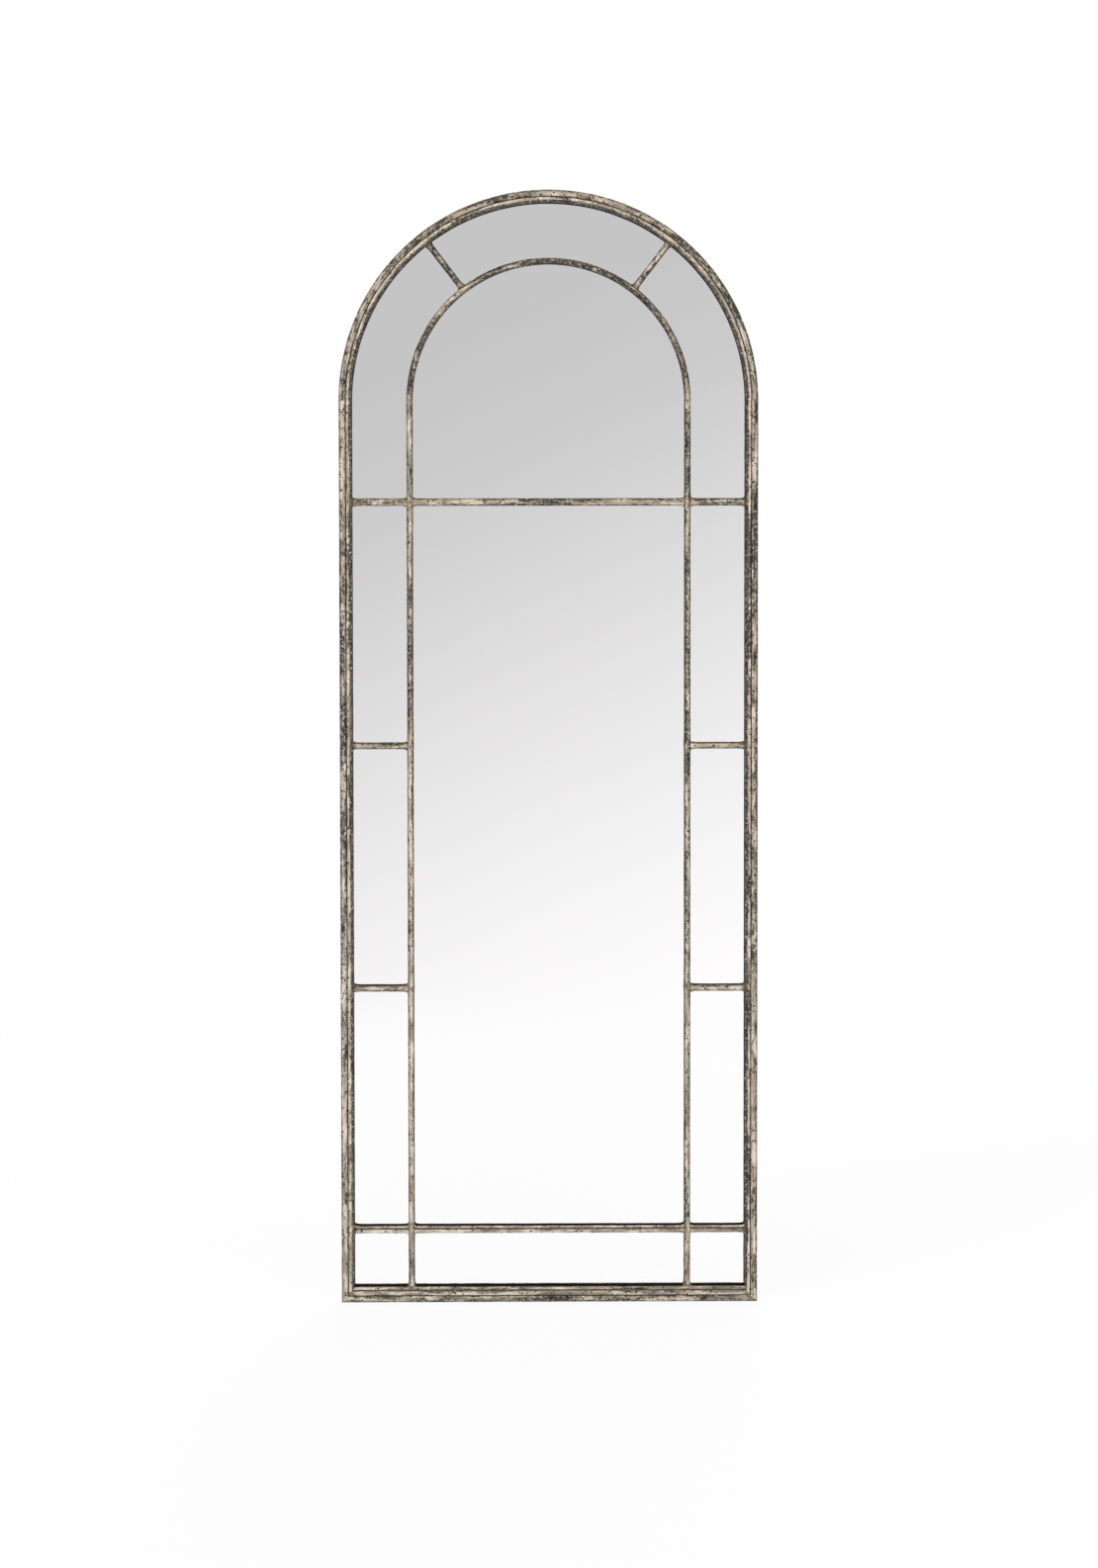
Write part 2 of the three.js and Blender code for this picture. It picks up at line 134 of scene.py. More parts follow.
def ripple(points, scale, seed):
    """A smooth random field, about -1 to 1, whose waves are about scale long."""
    rng = np.random.default_rng(seed)
    directions = rng.normal(size=(WAVES, 3))
    directions /= np.linalg.norm(directions, axis=1)[:, None]
    lengths = scale * rng.uniform(*WAVE_SPREAD, WAVES)
    phases = rng.uniform(0, 2 * math.pi, WAVES)
    waves = np.sin(points @ (directions * (2 * math.pi / lengths)[:, None]).T + phases)
    return np.clip(waves.sum(1) / math.sqrt(WAVES), -1, 1)


def dents(grain, seed):
    """How deep the steel is dented at each point."""
    depth = 0
    for order, (share, wavelength, stretch) in enumerate(DENTS):
        field = 0.5 + 0.5 * ripple(grain * (stretch, 1, 1), wavelength, seed + order)
        depth = depth + share * field
    return DENT_DEPTH * depth


def arc(centre, radius, angles):
    """Points on an arc, as rows of (point, outward direction)."""
    directions = np.stack([np.cos(angles), np.sin(angles)], 1)
    return np.hstack([centre + radius * directions, directions])


def rounded_corner(centre, radius, start, steps):
    return arc(centre, radius, np.linspace(start, start + math.pi / 2, steps + 1))


def bar_section(a_low, a_high, front, back):
    """A closed outline as rows of (a, b, outward direction). a is across the bar, b from front to back."""
    r, s = CORNER, BACK_CORNER
    corners = [
        rounded_corner((a_low + r, front + r), r, math.pi, CORNER_STEPS),
        rounded_corner((a_high - r, front + r), r, 1.5 * math.pi, CORNER_STEPS),
        rounded_corner((a_high - s, back - s), s, 0, BACK_CORNER_STEPS),
        rounded_corner((a_low + s, back - s), s, 0.5 * math.pi, BACK_CORNER_STEPS),
    ]
    rows = []
    for corner, following in zip(corners, corners[1:] + corners[:1]):
        last = corner[-1]
        gap = following[0] - last
        count = max(1, round(float(np.hypot(*gap[:2])) / FACE_STEP))
        rows += [*corner, *(last + gap * i / count for i in range(1, count))]
    return np.array(rows)


def stations(length, dense):
    """Places along a bar, closer together round the welds."""
    places = [0.0]
    while places[-1] < length:
        near = min((abs(places[-1] - weld) for weld in dense), default=1.0)
        places.append(places[-1] + (WELD_STEP if near < WELD_ZONE else RUN_STEP))
    return np.array(places) * (length / places[-1])


def square(a):
    """The end of a bar that is cut straight across."""
    return 0 * a


def diagonal(slope):
    """The cut at a corner of the frame: at 45 degrees across the tube, then with a slope across the bead."""
    return lambda a: TUBE_FACE + slope * (a - TUBE_FACE)


SQUARE_ENDS = (square, square)


def strip_map(mesh, along, around):
    """A UV map of the swept skin, cut into strips side by side, so that a long bar fills its image."""
    last_row, columns, girth = len(along) - 1, len(around) - 1, around[-1]
    strips = max(1, round(math.sqrt(along[-1] / girth)))
    per_strip = math.ceil(last_row / strips)
    across = STRIP_MARGIN + (1 - 2 * STRIP_MARGIN) * around / girth
    uv = np.zeros((len(mesh.loops), 2), np.float32)
    for row in range(last_row):
        strip = row // per_strip
        first = along[strip * per_strip]
        last = along[min((strip + 1) * per_strip, last_row)]
        low, high = ((along[row + k] - first) / (last - first) for k in (0, 1))
        for column in range(columns):
            left, right = ((strip + across[column + k]) / strips for k in (0, 1))
            at = 4 * (row * columns + column)
            uv[at : at + 4] = ((left, low), (right, low), (right, high), (left, high))
    mesh.uv_layers.new(name="OFBake").uv.foreach_set("vector", uv.ravel())


def skin(name, rings, closed=False):
    """A closed skin over rings of points. Its first and last rings are capped, or joined where it closes."""
    count, columns = rings.shape[:2]
    grid = np.arange(count * columns).reshape(count, columns)
    rows = np.vstack([grid, grid[:1]]) if closed else grid
    corners = [rows[:-1], np.roll(rows, -1, 1)[:-1], np.roll(rows, -1, 1)[1:], rows[1:]]
    faces = np.stack(corners, 2).reshape(-1, 4).tolist()
    if not closed:
        faces += [grid[0][::-1].tolist(), grid[-1].tolist()]
    mesh = bpy.data.meshes.new(name)
    mesh.from_pydata(rings.reshape(-1, 3).tolist(), [], faces)
    return mesh


def sweep(name, outline, length, place, look, seed, welds=(), ends=SQUARE_ENDS, flares=()):
    """A bar swept along its run. place(s, a, b) turns places along, across and through the bar into points.
    Each end's face slides inwards by ends(a), which makes a mitre. look(a, b) gives the marks that the paint
    reads from the vertices."""
    rows = stations(length, welds)
    count, columns = len(rows), len(outline)
    a = np.tile(outline[:, 0], (count, 1))
    b = np.tile(outline[:, 1], (count, 1))
    normal_a, normal_b = outline[:, 2], outline[:, 3]
    share = (rows / length)[:, None]
    s = ends[0](a) * (1 - share) + (length - ends[1](a)) * share
    grain = np.stack([s + seed, a, b], 2).reshape(-1, 3)
    dent = dents(grain, seed).reshape(count, columns)
    for at, amount, reach in flares:
        a = a + normal_a * amount * np.exp(-np.abs(s - at) / reach)
    a = a - dent * normal_a
    b = b - dent * normal_b
    points = place(s, a, b)
    mesh = skin(name, points)
    edges = np.hypot(*(np.roll(outline, -1, 0) - outline)[:, :2].T)
    strip_map(mesh, rows, np.append(0, np.cumsum(edges)))
    give(mesh, "grain", "FLOAT_VECTOR", grain / MM)
    for mark, values in look(a, b).items():
        give(mesh, mark, "FLOAT", values)
    give(mesh, "weld", "FLOAT", near_welds(points.reshape(-1, 3)))
    make_solid(mesh)
    return add(name, mesh)


def give(mesh, name, kind, values):
    attribute = mesh.attributes.new(name, kind, "POINT")
    key = "vector" if kind == "FLOAT_VECTOR" else "value"
    attribute.data.foreach_set(key, np.asarray(values, np.float32).ravel())


def make_solid(mesh):
    """Turns the faces out and shades the mesh smoothly, except at sharp edges."""
    mesh.validate()
    mesh.update()
    mesh.shade_smooth()
    if signed_volume(mesh) < 0:
        mesh.flip_normals()
    mesh.set_sharp_from_angle(angle=SHARP_ANGLE)


def signed_volume(mesh):
    mesh.calc_loop_triangles()
    corners = np.zeros(len(mesh.vertices) * 3)
    mesh.vertices.foreach_get("co", corners)
    corners = corners.reshape(-1, 3)
    triangles = np.zeros(len(mesh.loop_triangles) * 3, int)
    mesh.loop_triangles.foreach_get("vertices", triangles)
    p, q, r = corners[triangles.reshape(-1, 3)].transpose(1, 0, 2)
    return float((p * np.cross(q, r)).sum() / 6)


def add(name, mesh):
    ob = bpy.data.objects.new(name, mesh)
    bpy.context.scene.collection.objects.link(ob)
    return ob


def dress(ob, node, body, material):
    """The piece stands for a node, rides on its body and takes a finish."""
    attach(ob, body)
    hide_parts(node)
    ob.data.materials.append(material)


def blacken_sides(ob, paint_ends, black):
    """Every face further back than the paint reaches takes the black, a painted shade."""
    ob.data.materials.append(black)
    for face in ob.data.polygons:
        if face.center.y > paint_ends:
            face.material_index = 1


# ---------- Welds ----------


def weld_points():
    """Where bars meet the bead and each other, and where the beads meet at the bottom, on the front."""
    middle = (BAR_FRONT + BAR_BACK) / 2
    points = []
    for sign in SIDES.values():
        for z in CROSS_BARS.values():
            points += [(sign * UPRIGHT_X, middle, z), (sign * BEAD_INNER_X, middle, z)]
        points.append((sign * UPRIGHT_X, middle, SILL))
        points.append((sign * UPRIGHT_X, middle, SPRINGING))
        points.append((sign * (BEAD_OUTER_X - CORNER_WELD), middle, TUBE_FACE + CORNER_WELD))
        for radius in (UPRIGHT_OUTER_X, BEAD_INNER_X):
            x = sign * radius * math.sin(SPOKE_ANGLE)
            points.append((x, middle, SPRINGING + radius * math.cos(SPOKE_ANGLE)))
    return np.array(points)


WELDS = weld_points()


def near_welds(points):
    """1 at a weld, fading to 0 round it."""
    gaps = points[:, None, (X, Z)] - WELDS[None][:, :, (X, Z)]
    return np.exp(-np.square(np.linalg.norm(gaps, axis=2).min(1) / WELD_TINT_REACH))


# ---------- Placing along straight and round runs ----------


def upward(x, inwards, z_start=0.0):
    """Runs up at x. a counts inwards from there."""

    def place(s, a, b):
        return np.stack([x + inwards * a, b, z_start + s], 2)

    return place


def rightward(x_start, z):
    """Runs to the right at height z. a counts upwards from there."""

    def place(s, a, b):
        return np.stack([x_start + s, b, z + a], 2)

    return place


def over_arch(radius):
    """Runs clockwise over the arch from the left. s is measured at the radius, and a inwards from it."""

    def place(s, a, b):
        angle = math.pi - s / radius
        reach = radius - a
        return np.stack([reach * np.cos(angle), b, SPRINGING + reach * np.sin(angle)], 2)

    return place


def outward(angle, start):
    """Runs out from the arch's centre. The angle is from the vertical, to the right."""

    def place(s, a, b):
        reach = start + s
        x = reach * math.sin(angle) + a * math.cos(angle)
        z = SPRINGING + reach * math.cos(angle) - a * math.sin(angle)
        return np.stack([x, b, z], 2)

    return place


# ---------- Node trees ----------


class Nodes:
    """A small helper round one node tree."""

    def __init__(self, tree):
        self.tree = tree
        tree.nodes.clear()

    def make(self, kind, **settings):
        node = self.tree.nodes.new(kind)
        for key, value in settings.items():
            setattr(node, key, value)
        return node

    def set(self, socket, value):
        if isinstance(value, bpy.types.NodeSocket):
            self.tree.links.new(value, socket)
        elif isinstance(value, tuple) and len(value) == 3 and socket.type == "RGBA":
            socket.default_value = (*value, 1)
        else:
            socket.default_value = value

    def fill(self, sockets, values):
        for socket, value in zip(sockets, values):
            self.set(socket, value)

    def math(self, operation, *values):
        node = self.make("ShaderNodeMath", operation=operation)
        self.fill(node.inputs, values)
        return node.outputs[0]

    def total(self, base, *weighted):
        """A base value plus others, each times its weight."""
        for value, weight in weighted:
            base = self.math("MULTIPLY_ADD", value, weight, base)
        return base

    def attribute(self, name, output="Fac"):
        return self.make("ShaderNodeAttribute", attribute_name=name).outputs[output]

    def object_place(self):
        return self.make("ShaderNodeTexCoord").outputs["Object"]

    def part(self, vector, axis):
        node = self.make("ShaderNodeSeparateXYZ")
        self.set(node.inputs[0], vector)
        return node.outputs[axis]

    def stretched(self, vector, scale, shift=(0, 0, 0)):
        node = self.make("ShaderNodeMapping")
        self.set(node.inputs["Vector"], vector)
        self.set(node.inputs["Location"], shift)
        self.set(node.inputs["Scale"], scale)
        return node.outputs[0]

    def noise(self, vector, scale=1.0, detail=3.0, roughness=0.55):
        node = self.make("ShaderNodeTexNoise")
        self.set(node.inputs["Vector"], vector)
        self.set(node.inputs["Scale"], scale)
        self.set(node.inputs["Detail"], detail)
        self.set(node.inputs["Roughness"], roughness)
        return node.outputs["Fac"]

    def warped(self, vector, scale, amount):
        """Shifts a vector by a fine random field, which frays what is drawn on it."""
        field = self.make("ShaderNodeTexNoise")
        self.set(field.inputs["Vector"], vector)
        self.set(field.inputs["Scale"], scale)
        shifted = self.make("ShaderNodeVectorMath", operation="MULTIPLY_ADD")
        self.fill(shifted.inputs, (field.outputs["Color"], (amount, amount, amount), vector))
        return shifted.outputs[0]

    def spots(self, vector, rarity, size, softness):
        """Round spots of mixed sizes, 1 inside. The higher the rarity, the fewer cells have one."""
        cells = self.make("ShaderNodeTexVoronoi")
        self.set(cells.inputs["Vector"], vector)
        self.set(cells.inputs["Scale"], 1.0)
        chance = self.make("ShaderNodeSeparateColor")
        self.set(chance.inputs[0], cells.outputs["Color"])
        radius = self.step(chance.outputs[0], rarity, 1.0, 0.0, size)
        return self.step(self.math("SUBTRACT", radius, cells.outputs["Distance"]), 0.0, softness)

    def step(self, value, low, high, to_low=0.0, to_high=1.0):
        """Goes smoothly from to_low to to_high as value goes from low to high."""
        node = self.make("ShaderNodeMapRange", interpolation_type="SMOOTHSTEP")
        self.fill(node.inputs, (value, low, high, to_low, to_high))
        return node.outputs[0]

    def straight(self, value, low, high, to_low=0.0, to_high=1.0):
        """Goes evenly from to_low to to_high as value goes from low to high."""
        node = self.make("ShaderNodeMapRange")
        self.fill(node.inputs, (value, low, high, to_low, to_high))
        return node.outputs[0]

    def mix(self, share, first, second):
        node = self.make("ShaderNodeMix", data_type="RGBA")
        self.set(node.inputs["Factor"], share)
        self.set(node.inputs[6], first)
        self.set(node.inputs[7], second)
        return node.outputs[2]

    def blend(self, share, first, second):
        """Mixes two shaders."""
        node = self.make("ShaderNodeMixShader")
        self.fill(node.inputs, (share, first, second))
        return node.outputs[0]

    def background(self, colour, strength=1.0):
        node = self.make("ShaderNodeBackground")
        self.set(node.inputs["Color"], colour)
        self.set(node.inputs["Strength"], strength)
        return node.outputs[0]

    def bump(self, height, distance, strength=1.0):
        node = self.make("ShaderNodeBump")
        self.set(node.inputs["Height"], height)
        self.set(node.inputs["Distance"], distance)
        self.set(node.inputs["Strength"], strength)
        return node.outputs[0]

    def surface(self, **sockets):
        shader = self.make("ShaderNodeBsdfPrincipled")
        for key, value in sockets.items():
            self.set(shader.inputs[key.replace("_", " ")], value)
        output = self.make("ShaderNodeOutputMaterial")
        self.set(output.inputs["Surface"], shader.outputs[0])


def new_material(name):
    material = bpy.data.materials.new(name)
    material.use_nodes = True
    return material, Nodes(material.node_tree)


# ---------- Worn paint ----------

CREAM = (0.52, 0.415, 0.30)
PALE_CREAM = (0.82, 0.73, 0.60)
TAN = (0.35, 0.25, 0.165)
MOSS_GREY = (0.165, 0.160, 0.120)
STEEL = (0.026, 0.020, 0.016)
SLATE = (0.105, 0.094, 0.072)
RUST = (0.11, 0.052, 0.030)
SPOT_BROWN = (0.026, 0.015, 0.012)
EDGE_BROWN = (0.085, 0.060, 0.046)
OLD_WHITE = (0.55, 0.51, 0.44)

# Each random pattern: its waves in a millimetre along the bar and across it, its detail and its roughness.
PATTERNS = {
    "zones": (0.010, 0.05, 2.0, 0.55),
    "clusters": (0.035, 0.13, 2.0, 0.55),
    "specks": (0.17, 0.25, 1.5, 0.50),
    "lines": (0.010, 0.36, 1.5, 0.55),
    "tone": (0.045, 0.24, 3.0, 0.60),
    "scuffs": (0.26, 0.36, 1.0, 0.55),
    "washes": (0.022, 0.15, 2.0, 0.55),
    "pits": (1.1, 1.5, 4.0, 0.65),
    "blooms": (0.2, 0.2, 2.0, 0.55),
}
SEED_SHIFT = (37.0, 11.0, 5.0)

# The brown spots: their cells in a millimetre, how they are frayed, and which cells have one of what size.
SPOT_CELLS = (0.26, 0.42, 0.42)
SPOT_FRAY_SCALE = 2.6
SPOT_FRAY = 0.5
SPOT_RARITY = 0.48
SPOT_SIZE = 0.60
SPOT_SOFTNESS = 0.12

# What counts for steel that shows through, besides the specks, and for the paleness of the paint.
ZONE_WEAR = 1.5
CLUSTER_WEAR = 1.0
LINE_WEAR = 0.7
EDGE_WEAR = 0.34
WELD_WEAR = -0.35
WEAR_HEIGHTS = (0.40, 0.75)
PIT_PALENESS = 0.35
EDGE_PALENESS = -0.15
HEIGHT_PALENESS = (0.75, 0.40, -0.175, -0.115)

# Where each layer starts and is complete on its pattern, then how strong it is at either end, if not 0 and 1.
WORN_THROUGH = (2.10, 2.50)
# CREASED turns the shade mark into painted shade, and BROWN_CREASE tints it brown.
CREASED = (0.62, 0.82)
PALE_PATCH = (0.38, 0.62)
TAN_PATCH = (0.44, 0.64, 0.0, 0.75)
MOSS_WASH = (0.42, 0.66)
DARK_LINE = (2.5, 1.7, 0.0, 0.95)
SPOT_DEPTH = (0.35, 0.50, 0.55, 0.95)
RUBBED_EDGE = (0.35, 0.90)
RUBBED_PATCH = (0.34, 0.56, 0.35, 0.85)
RUST_BLOOM = (0.44, 0.58, 0.0, 0.7)
SLATE_PATCH = (0.56, 0.80)
WHITE_SCUFF = (0.56, 0.70, 0.0, 0.75)
BROWN_CREASE = (0.45, 0.65)

# How much the spots show on steel, and how much of a second pattern is in creases, lines and slate patches.
STEEL_SPOTS = 0.8
CREASE_FRAY = 0.5
LINE_FRAY = 1.6
METAL_PITS = 0.4

PAINT_GLOSS = 0.22
PAINT_ROUGHNESS = 0.58
BARE_ROUGHNESS = -0.10
TONE_ROUGHNESS = 0.25
SPECK_RELIEF = 0.35
BARE_RELIEF = -0.5
PIT_RELIEF = 0.3
RELIEF_HEIGHT = 0.25 * MM
RELIEF_STRENGTH = 0.8


def paint_marks(n):
    """What the vertices carry for the paint, and their height."""
    return SimpleNamespace(
        grain=n.attribute("grain", "Vector"),
        edge=n.attribute("edge"),
        shade=n.attribute("shade"),
        weld=n.attribute("weld"),
        height=n.part(n.object_place(), "Z"),
    )


def paint_patterns(n, grain, seed):
    shift = tuple(seed * amount for amount in SEED_SHIFT)
    patterns = {}
    for name, (along, across, detail, roughness) in PATTERNS.items():
        scaled = n.stretched(grain, (along, across, across), shift)
        patterns[name] = n.noise(scaled, 1.0, detail, roughness)
    cells = n.warped(n.stretched(grain, SPOT_CELLS, shift), SPOT_FRAY_SCALE, SPOT_FRAY)
    patterns["blots"] = n.spots(cells, SPOT_RARITY, SPOT_SIZE, SPOT_SOFTNESS)
    return SimpleNamespace(**patterns)


def worn_through(n, marks, patterns, wear):
    """1 where the steel shows. wear is how far that has gone near the floor and higher up."""
    bare = n.total(
        patterns.specks,
        (patterns.zones, ZONE_WEAR),
        (patterns.clusters, CLUSTER_WEAR),
        (patterns.lines, LINE_WEAR),
        # On the beads the edge mark also carries painted shade along the inner edge and a painted highlight
        # along the outer.
        (marks.edge, EDGE_WEAR),
        (n.step(marks.height, *WEAR_HEIGHTS, *wear), 1.0),
        (marks.weld, WELD_WEAR),
    )
    return n.step(bare, *WORN_THROUGH)


def paint_colour(n, marks, patterns, grime, line):
    """Cream in three tones, under grime, a dark line, brown spots, rubbed edges and rust at the welds. On the
    beads the edge mark also gives painted shade along the inner edge and a painted highlight along the outer.
    """
    paleness = n.total(
        patterns.tone,
        (n.step(marks.height, *HEIGHT_PALENESS), 1.0),
        (patterns.pits, PIT_PALENESS),
        (marks.edge, EDGE_PALENESS),
    )
    colour = n.mix(n.step(paleness, *PALE_PATCH), CREAM, PALE_CREAM)
    colour = n.mix(n.step(patterns.clusters, *TAN_PATCH), colour, TAN)
    colour = n.mix(n.step(patterns.washes, *MOSS_WASH, 0.0, grime), colour, MOSS_GREY)
    if line is not None:
        distance = n.math("ABSOLUTE", n.math("SUBTRACT", n.part(marks.grain, "Y"), line / MM))
        distance = n.total(distance, (patterns.specks, LINE_FRAY))
        colour = n.mix(n.step(distance, *DARK_LINE), colour, EDGE_BROWN)
    spotted = n.math("MULTIPLY", patterns.blots, n.step(patterns.pits, *SPOT_DEPTH))
    colour = n.mix(spotted, colour, SPOT_BROWN)
    # Worn edges, and on the beads painted shade along the inner edge too.
    worn_and_shaded = n.math("MULTIPLY", n.step(marks.edge, *RUBBED_EDGE), n.step(patterns.scuffs, *RUBBED_PATCH))
    colour = n.mix(worn_and_shaded, colour, EDGE_BROWN)
    rusty = n.math("MULTIPLY", marks.weld, patterns.blooms)
    return n.mix(n.step(rusty, *RUST_BLOOM), colour, RUST)


def steel_colour(n, patterns):
    """Dark steel with slate patches, spots and scuffs of old white paint."""
    mottle = n.total(patterns.tone, (patterns.pits, METAL_PITS))
    colour = n.mix(n.step(mottle, *SLATE_PATCH), STEEL, SLATE)
    colour = n.mix(n.math("MULTIPLY", patterns.blots, STEEL_SPOTS), colour, SPOT_BROWN)
    return n.mix(n.step(patterns.scuffs, *WHITE_SCUFF), colour, OLD_WHITE)


def distressed_paint(name, wear, seed, grime, line):
    """Cream paint that is chipped and rubbed down to dark steel in patches and long streaks, and dark with
    painted shade in the creases, with dirt in the groove. line is where, across the bar, a dark line runs
    along it."""
    material, n = new_material(name)
    marks = paint_marks(n)
    patterns = paint_patterns(n, marks.grain, seed)
    worn = worn_through(n, marks, patterns, wear)
    # Painted shade: the shade mark, frayed by the specks, darkens creases and sides. In the groove it stands
    # for dirt as well.
    crease = n.step(n.total(marks.shade, (patterns.specks, CREASE_FRAY)), *CREASED)
    coat = paint_colour(n, marks, patterns, grime, line)
    creased = n.mix(n.step(patterns.tone, *BROWN_CREASE), STEEL, EDGE_BROWN)
    bared = n.math("MAXIMUM", worn, crease)
    relief = n.total(
        0.0,
        (patterns.specks, SPECK_RELIEF),
        (bared, BARE_RELIEF),
        (patterns.pits, PIT_RELIEF),
    )
    n.surface(
        Base_Color=n.mix(crease, n.mix(worn, coat, steel_colour(n, patterns)), creased),
        Roughness=n.total(PAINT_ROUGHNESS, (bared, BARE_ROUGHNESS), (patterns.tone, TONE_ROUGHNESS)),
        Specular_IOR_Level=PAINT_GLOSS,
        Normal=n.bump(relief, RELIEF_HEIGHT, RELIEF_STRENGTH),
    )
    return material


# ---------- Other finishes ----------

# Painted shade: the near-black of the sides behind the painted fronts, and its dustier flecks.
PAINTED_SHADE_BLACK = (0.004, 0.0038, 0.0036)
PAINTED_SHADE_DUSTY = (0.014, 0.012, 0.010)
SILVER = (0.996, 0.994, 0.995)
SILVER_HAZE = (0.990, 0.991, 0.993)
FOAM_BLACK = (0.010, 0.010, 0.011)
FOAM_GREY = (0.035, 0.034, 0.033)
FIBRE_DARK = (0.155, 0.098, 0.058)
FIBRE_LIGHT = (0.34, 0.235, 0.145)
FIBRE_CLOUD = (0.13, 0.082, 0.05)
ZINC_DARK = (0.50, 0.50, 0.49)
ZINC_LIGHT = (0.70, 0.70, 0.68)
ZINC_SCRATCH = (0.82, 0.82, 0.80)
# Painted shade in the screws' cross recesses.
ZINC_RECESS = (0.10, 0.095, 0.085)
RUBBER_BLACK = (0.018, 0.018, 0.019)
RUBBER_GREY = (0.045, 0.045, 0.046)

# Waves in a metre.
DUST_SCALE = 500.0
HAZE_SCALE = (3.0, 1.0, 1.6)
FOAM_SCALE = 900.0
FIBRE_SCALE = (900.0, 400.0, 320.0)
FIBRE_CLOUD_SCALE = 9.0
ZINC_CLOUD_SCALE = 160.0
ZINC_SCRATCH_SCALE = (2600.0, 2600.0, 260.0)
PORE_SCALE = 1400.0


def shadow_black(name):
    """The sides of the bars and beads behind their painted front: unpainted steel, darkened to near black as
    painted shade, with hardly any gloss.
    """
    material, n = new_material(name)
    dust = n.noise(n.object_place(), DUST_SCALE)
    n.surface(
        Base_Color=n.mix(n.step(dust, 0.4, 0.75), PAINTED_SHADE_BLACK, PAINTED_SHADE_DUSTY),
        Roughness=n.step(dust, 0.2, 0.8, 0.8, 0.97),
        Specular_IOR_Level=0.04,
        Normal=n.bump(dust, 0.1 * MM, 0.5),
    )
    return material


def mirror_silver():
    material, n = new_material("mirror_silver")
    haze = n.noise(n.stretched(n.object_place(), HAZE_SCALE))
    n.surface(
        Base_Color=n.mix(n.step(haze, 0.35, 0.65), SILVER, SILVER_HAZE),
        Metallic=1.0,
        Roughness=n.step(haze, 0.4, 0.8, 0.004, 0.02),
    )
    return material


def foam_tape():
    material, n = new_material("foam_tape")
    cells = n.noise(n.object_place(), FOAM_SCALE)
    n.surface(
        Base_Color=n.mix(cells, FOAM_BLACK, FOAM_GREY),
        Roughness=n.step(cells, 0, 1, 0.8, 0.98),
        Specular_IOR_Level=0.1,
        Normal=n.bump(cells, 0.3 * MM, 0.6),
    )
    return material


def fibreboard():
    material, n = new_material("fibreboard")
    place = n.object_place()
    fibres = n.noise(n.stretched(place, FIBRE_SCALE), detail=4.0, roughness=0.7)
    clouds = n.noise(place, FIBRE_CLOUD_SCALE)
    colour = n.mix(fibres, FIBRE_DARK, FIBRE_LIGHT)
    n.surface(
        Base_Color=n.mix(n.step(clouds, 0.35, 0.7, 0.0, 0.35), colour, FIBRE_CLOUD),
        Roughness=n.step(fibres, 0, 1, 0.62, 0.9),
        Normal=n.bump(fibres, 0.2 * MM, 0.5),
    )
    return material


def zinc_plate():
    """Bright zinc, clouded and scratched, with painted shade in the recesses of the screws."""
    material, n = new_material("zinc_plate")
    place = n.object_place()
    cloud = n.noise(place, ZINC_CLOUD_SCALE)
    scratch = n.noise(n.stretched(place, ZINC_SCRATCH_SCALE))
    colour = n.mix(cloud, ZINC_DARK, ZINC_LIGHT)
    colour = n.mix(n.step(scratch, 0.62, 0.72, 0.0, 0.5), colour, ZINC_SCRATCH)
    n.surface(
        Base_Color=n.mix(n.attribute("recess"), colour, ZINC_RECESS),
        Metallic=1.0,
        Roughness=n.step(cloud, 0.2, 0.8, 0.26, 0.46),
        Normal=n.bump(scratch, 0.03 * MM, 0.5),
    )
    return material


def moulded_rubber():
    material, n = new_material("moulded_rubber")
    pores = n.noise(n.object_place(), PORE_SCALE, 2.0)
    n.surface(
        Base_Color=n.mix(pores, RUBBER_BLACK, RUBBER_GREY),
        Roughness=n.step(pores, 0, 1, 0.6, 0.85),
        Normal=n.bump(pores, 0.08 * MM, 0.5),
    )
    return material


# ---------- Marks of wear, painted shade and a painted highlight on the steelwork ---

# In each pair a mark is full up to the first distance and gone at the second.
# On the tube the groove is painted shade and dirt, and the back is darker.
TUBE_GROOVE = (0.7 * MM, 1.5 * MM)
TUBE_BACK_REACH = (0, 1.5 * MM)
TUBE_BACK_DARKNESS = 0.45
TUBE_EDGE = (0.9 * MM, 2.2 * MM)
# On the bead the groove is painted shade and dirt, the inner side painted shade, and the inner edge wear and
# painted shade.
BEAD_GROOVE = (0.2 * MM, 0.8 * MM)
BEAD_SIDE = (0, 1.0 * MM)
BEAD_SIDE_FROM = 5.0 * MM
BEAD_EDGE = (2.8 * MM, 5.4 * MM)
# A painted highlight along the bead's outer edge: how far in it runs and how wide it is.
HIGHLIGHT_LINE = 2.2 * MM
HIGHLIGHT_WIDTH = 1.3 * MM
# Painted shade down a bar's sides, and on a lined bar's top side from nearer the front.
BAR_SIDE = (0, 1.0 * MM)
BAR_SIDE_FROM = 2.2 * MM
BAR_EDGE = (0.9 * MM, 2.1 * MM)
LINED_SIDE = (0, 0.5 * MM)
LINED_SIDE_FROM = 0.9 * MM
LINED_FOOT = (-2.5 * MM, 0)
LINED_FOOT_KEPT = -0.6


def fall(distance, full, none):
    """1 up to a distance, 0 beyond another."""
    return np.clip((none - distance) / (none - full), 0, 1)


def tube_look(a, b):
    """Painted shade and dirt where the tube meets the bead, rubbed on its outer front edge, darker at the
    back.
    """
    groove = fall(TUBE_FACE - a, *TUBE_GROOVE)
    back = TUBE_BACK_DARKNESS * fall(TUBE_BACK - b, *TUBE_BACK_REACH)
    outer = fall(np.hypot(a, b - TUBE_FRONT), *TUBE_EDGE)
    return {"shade": np.maximum(groove, back), "edge": outer}


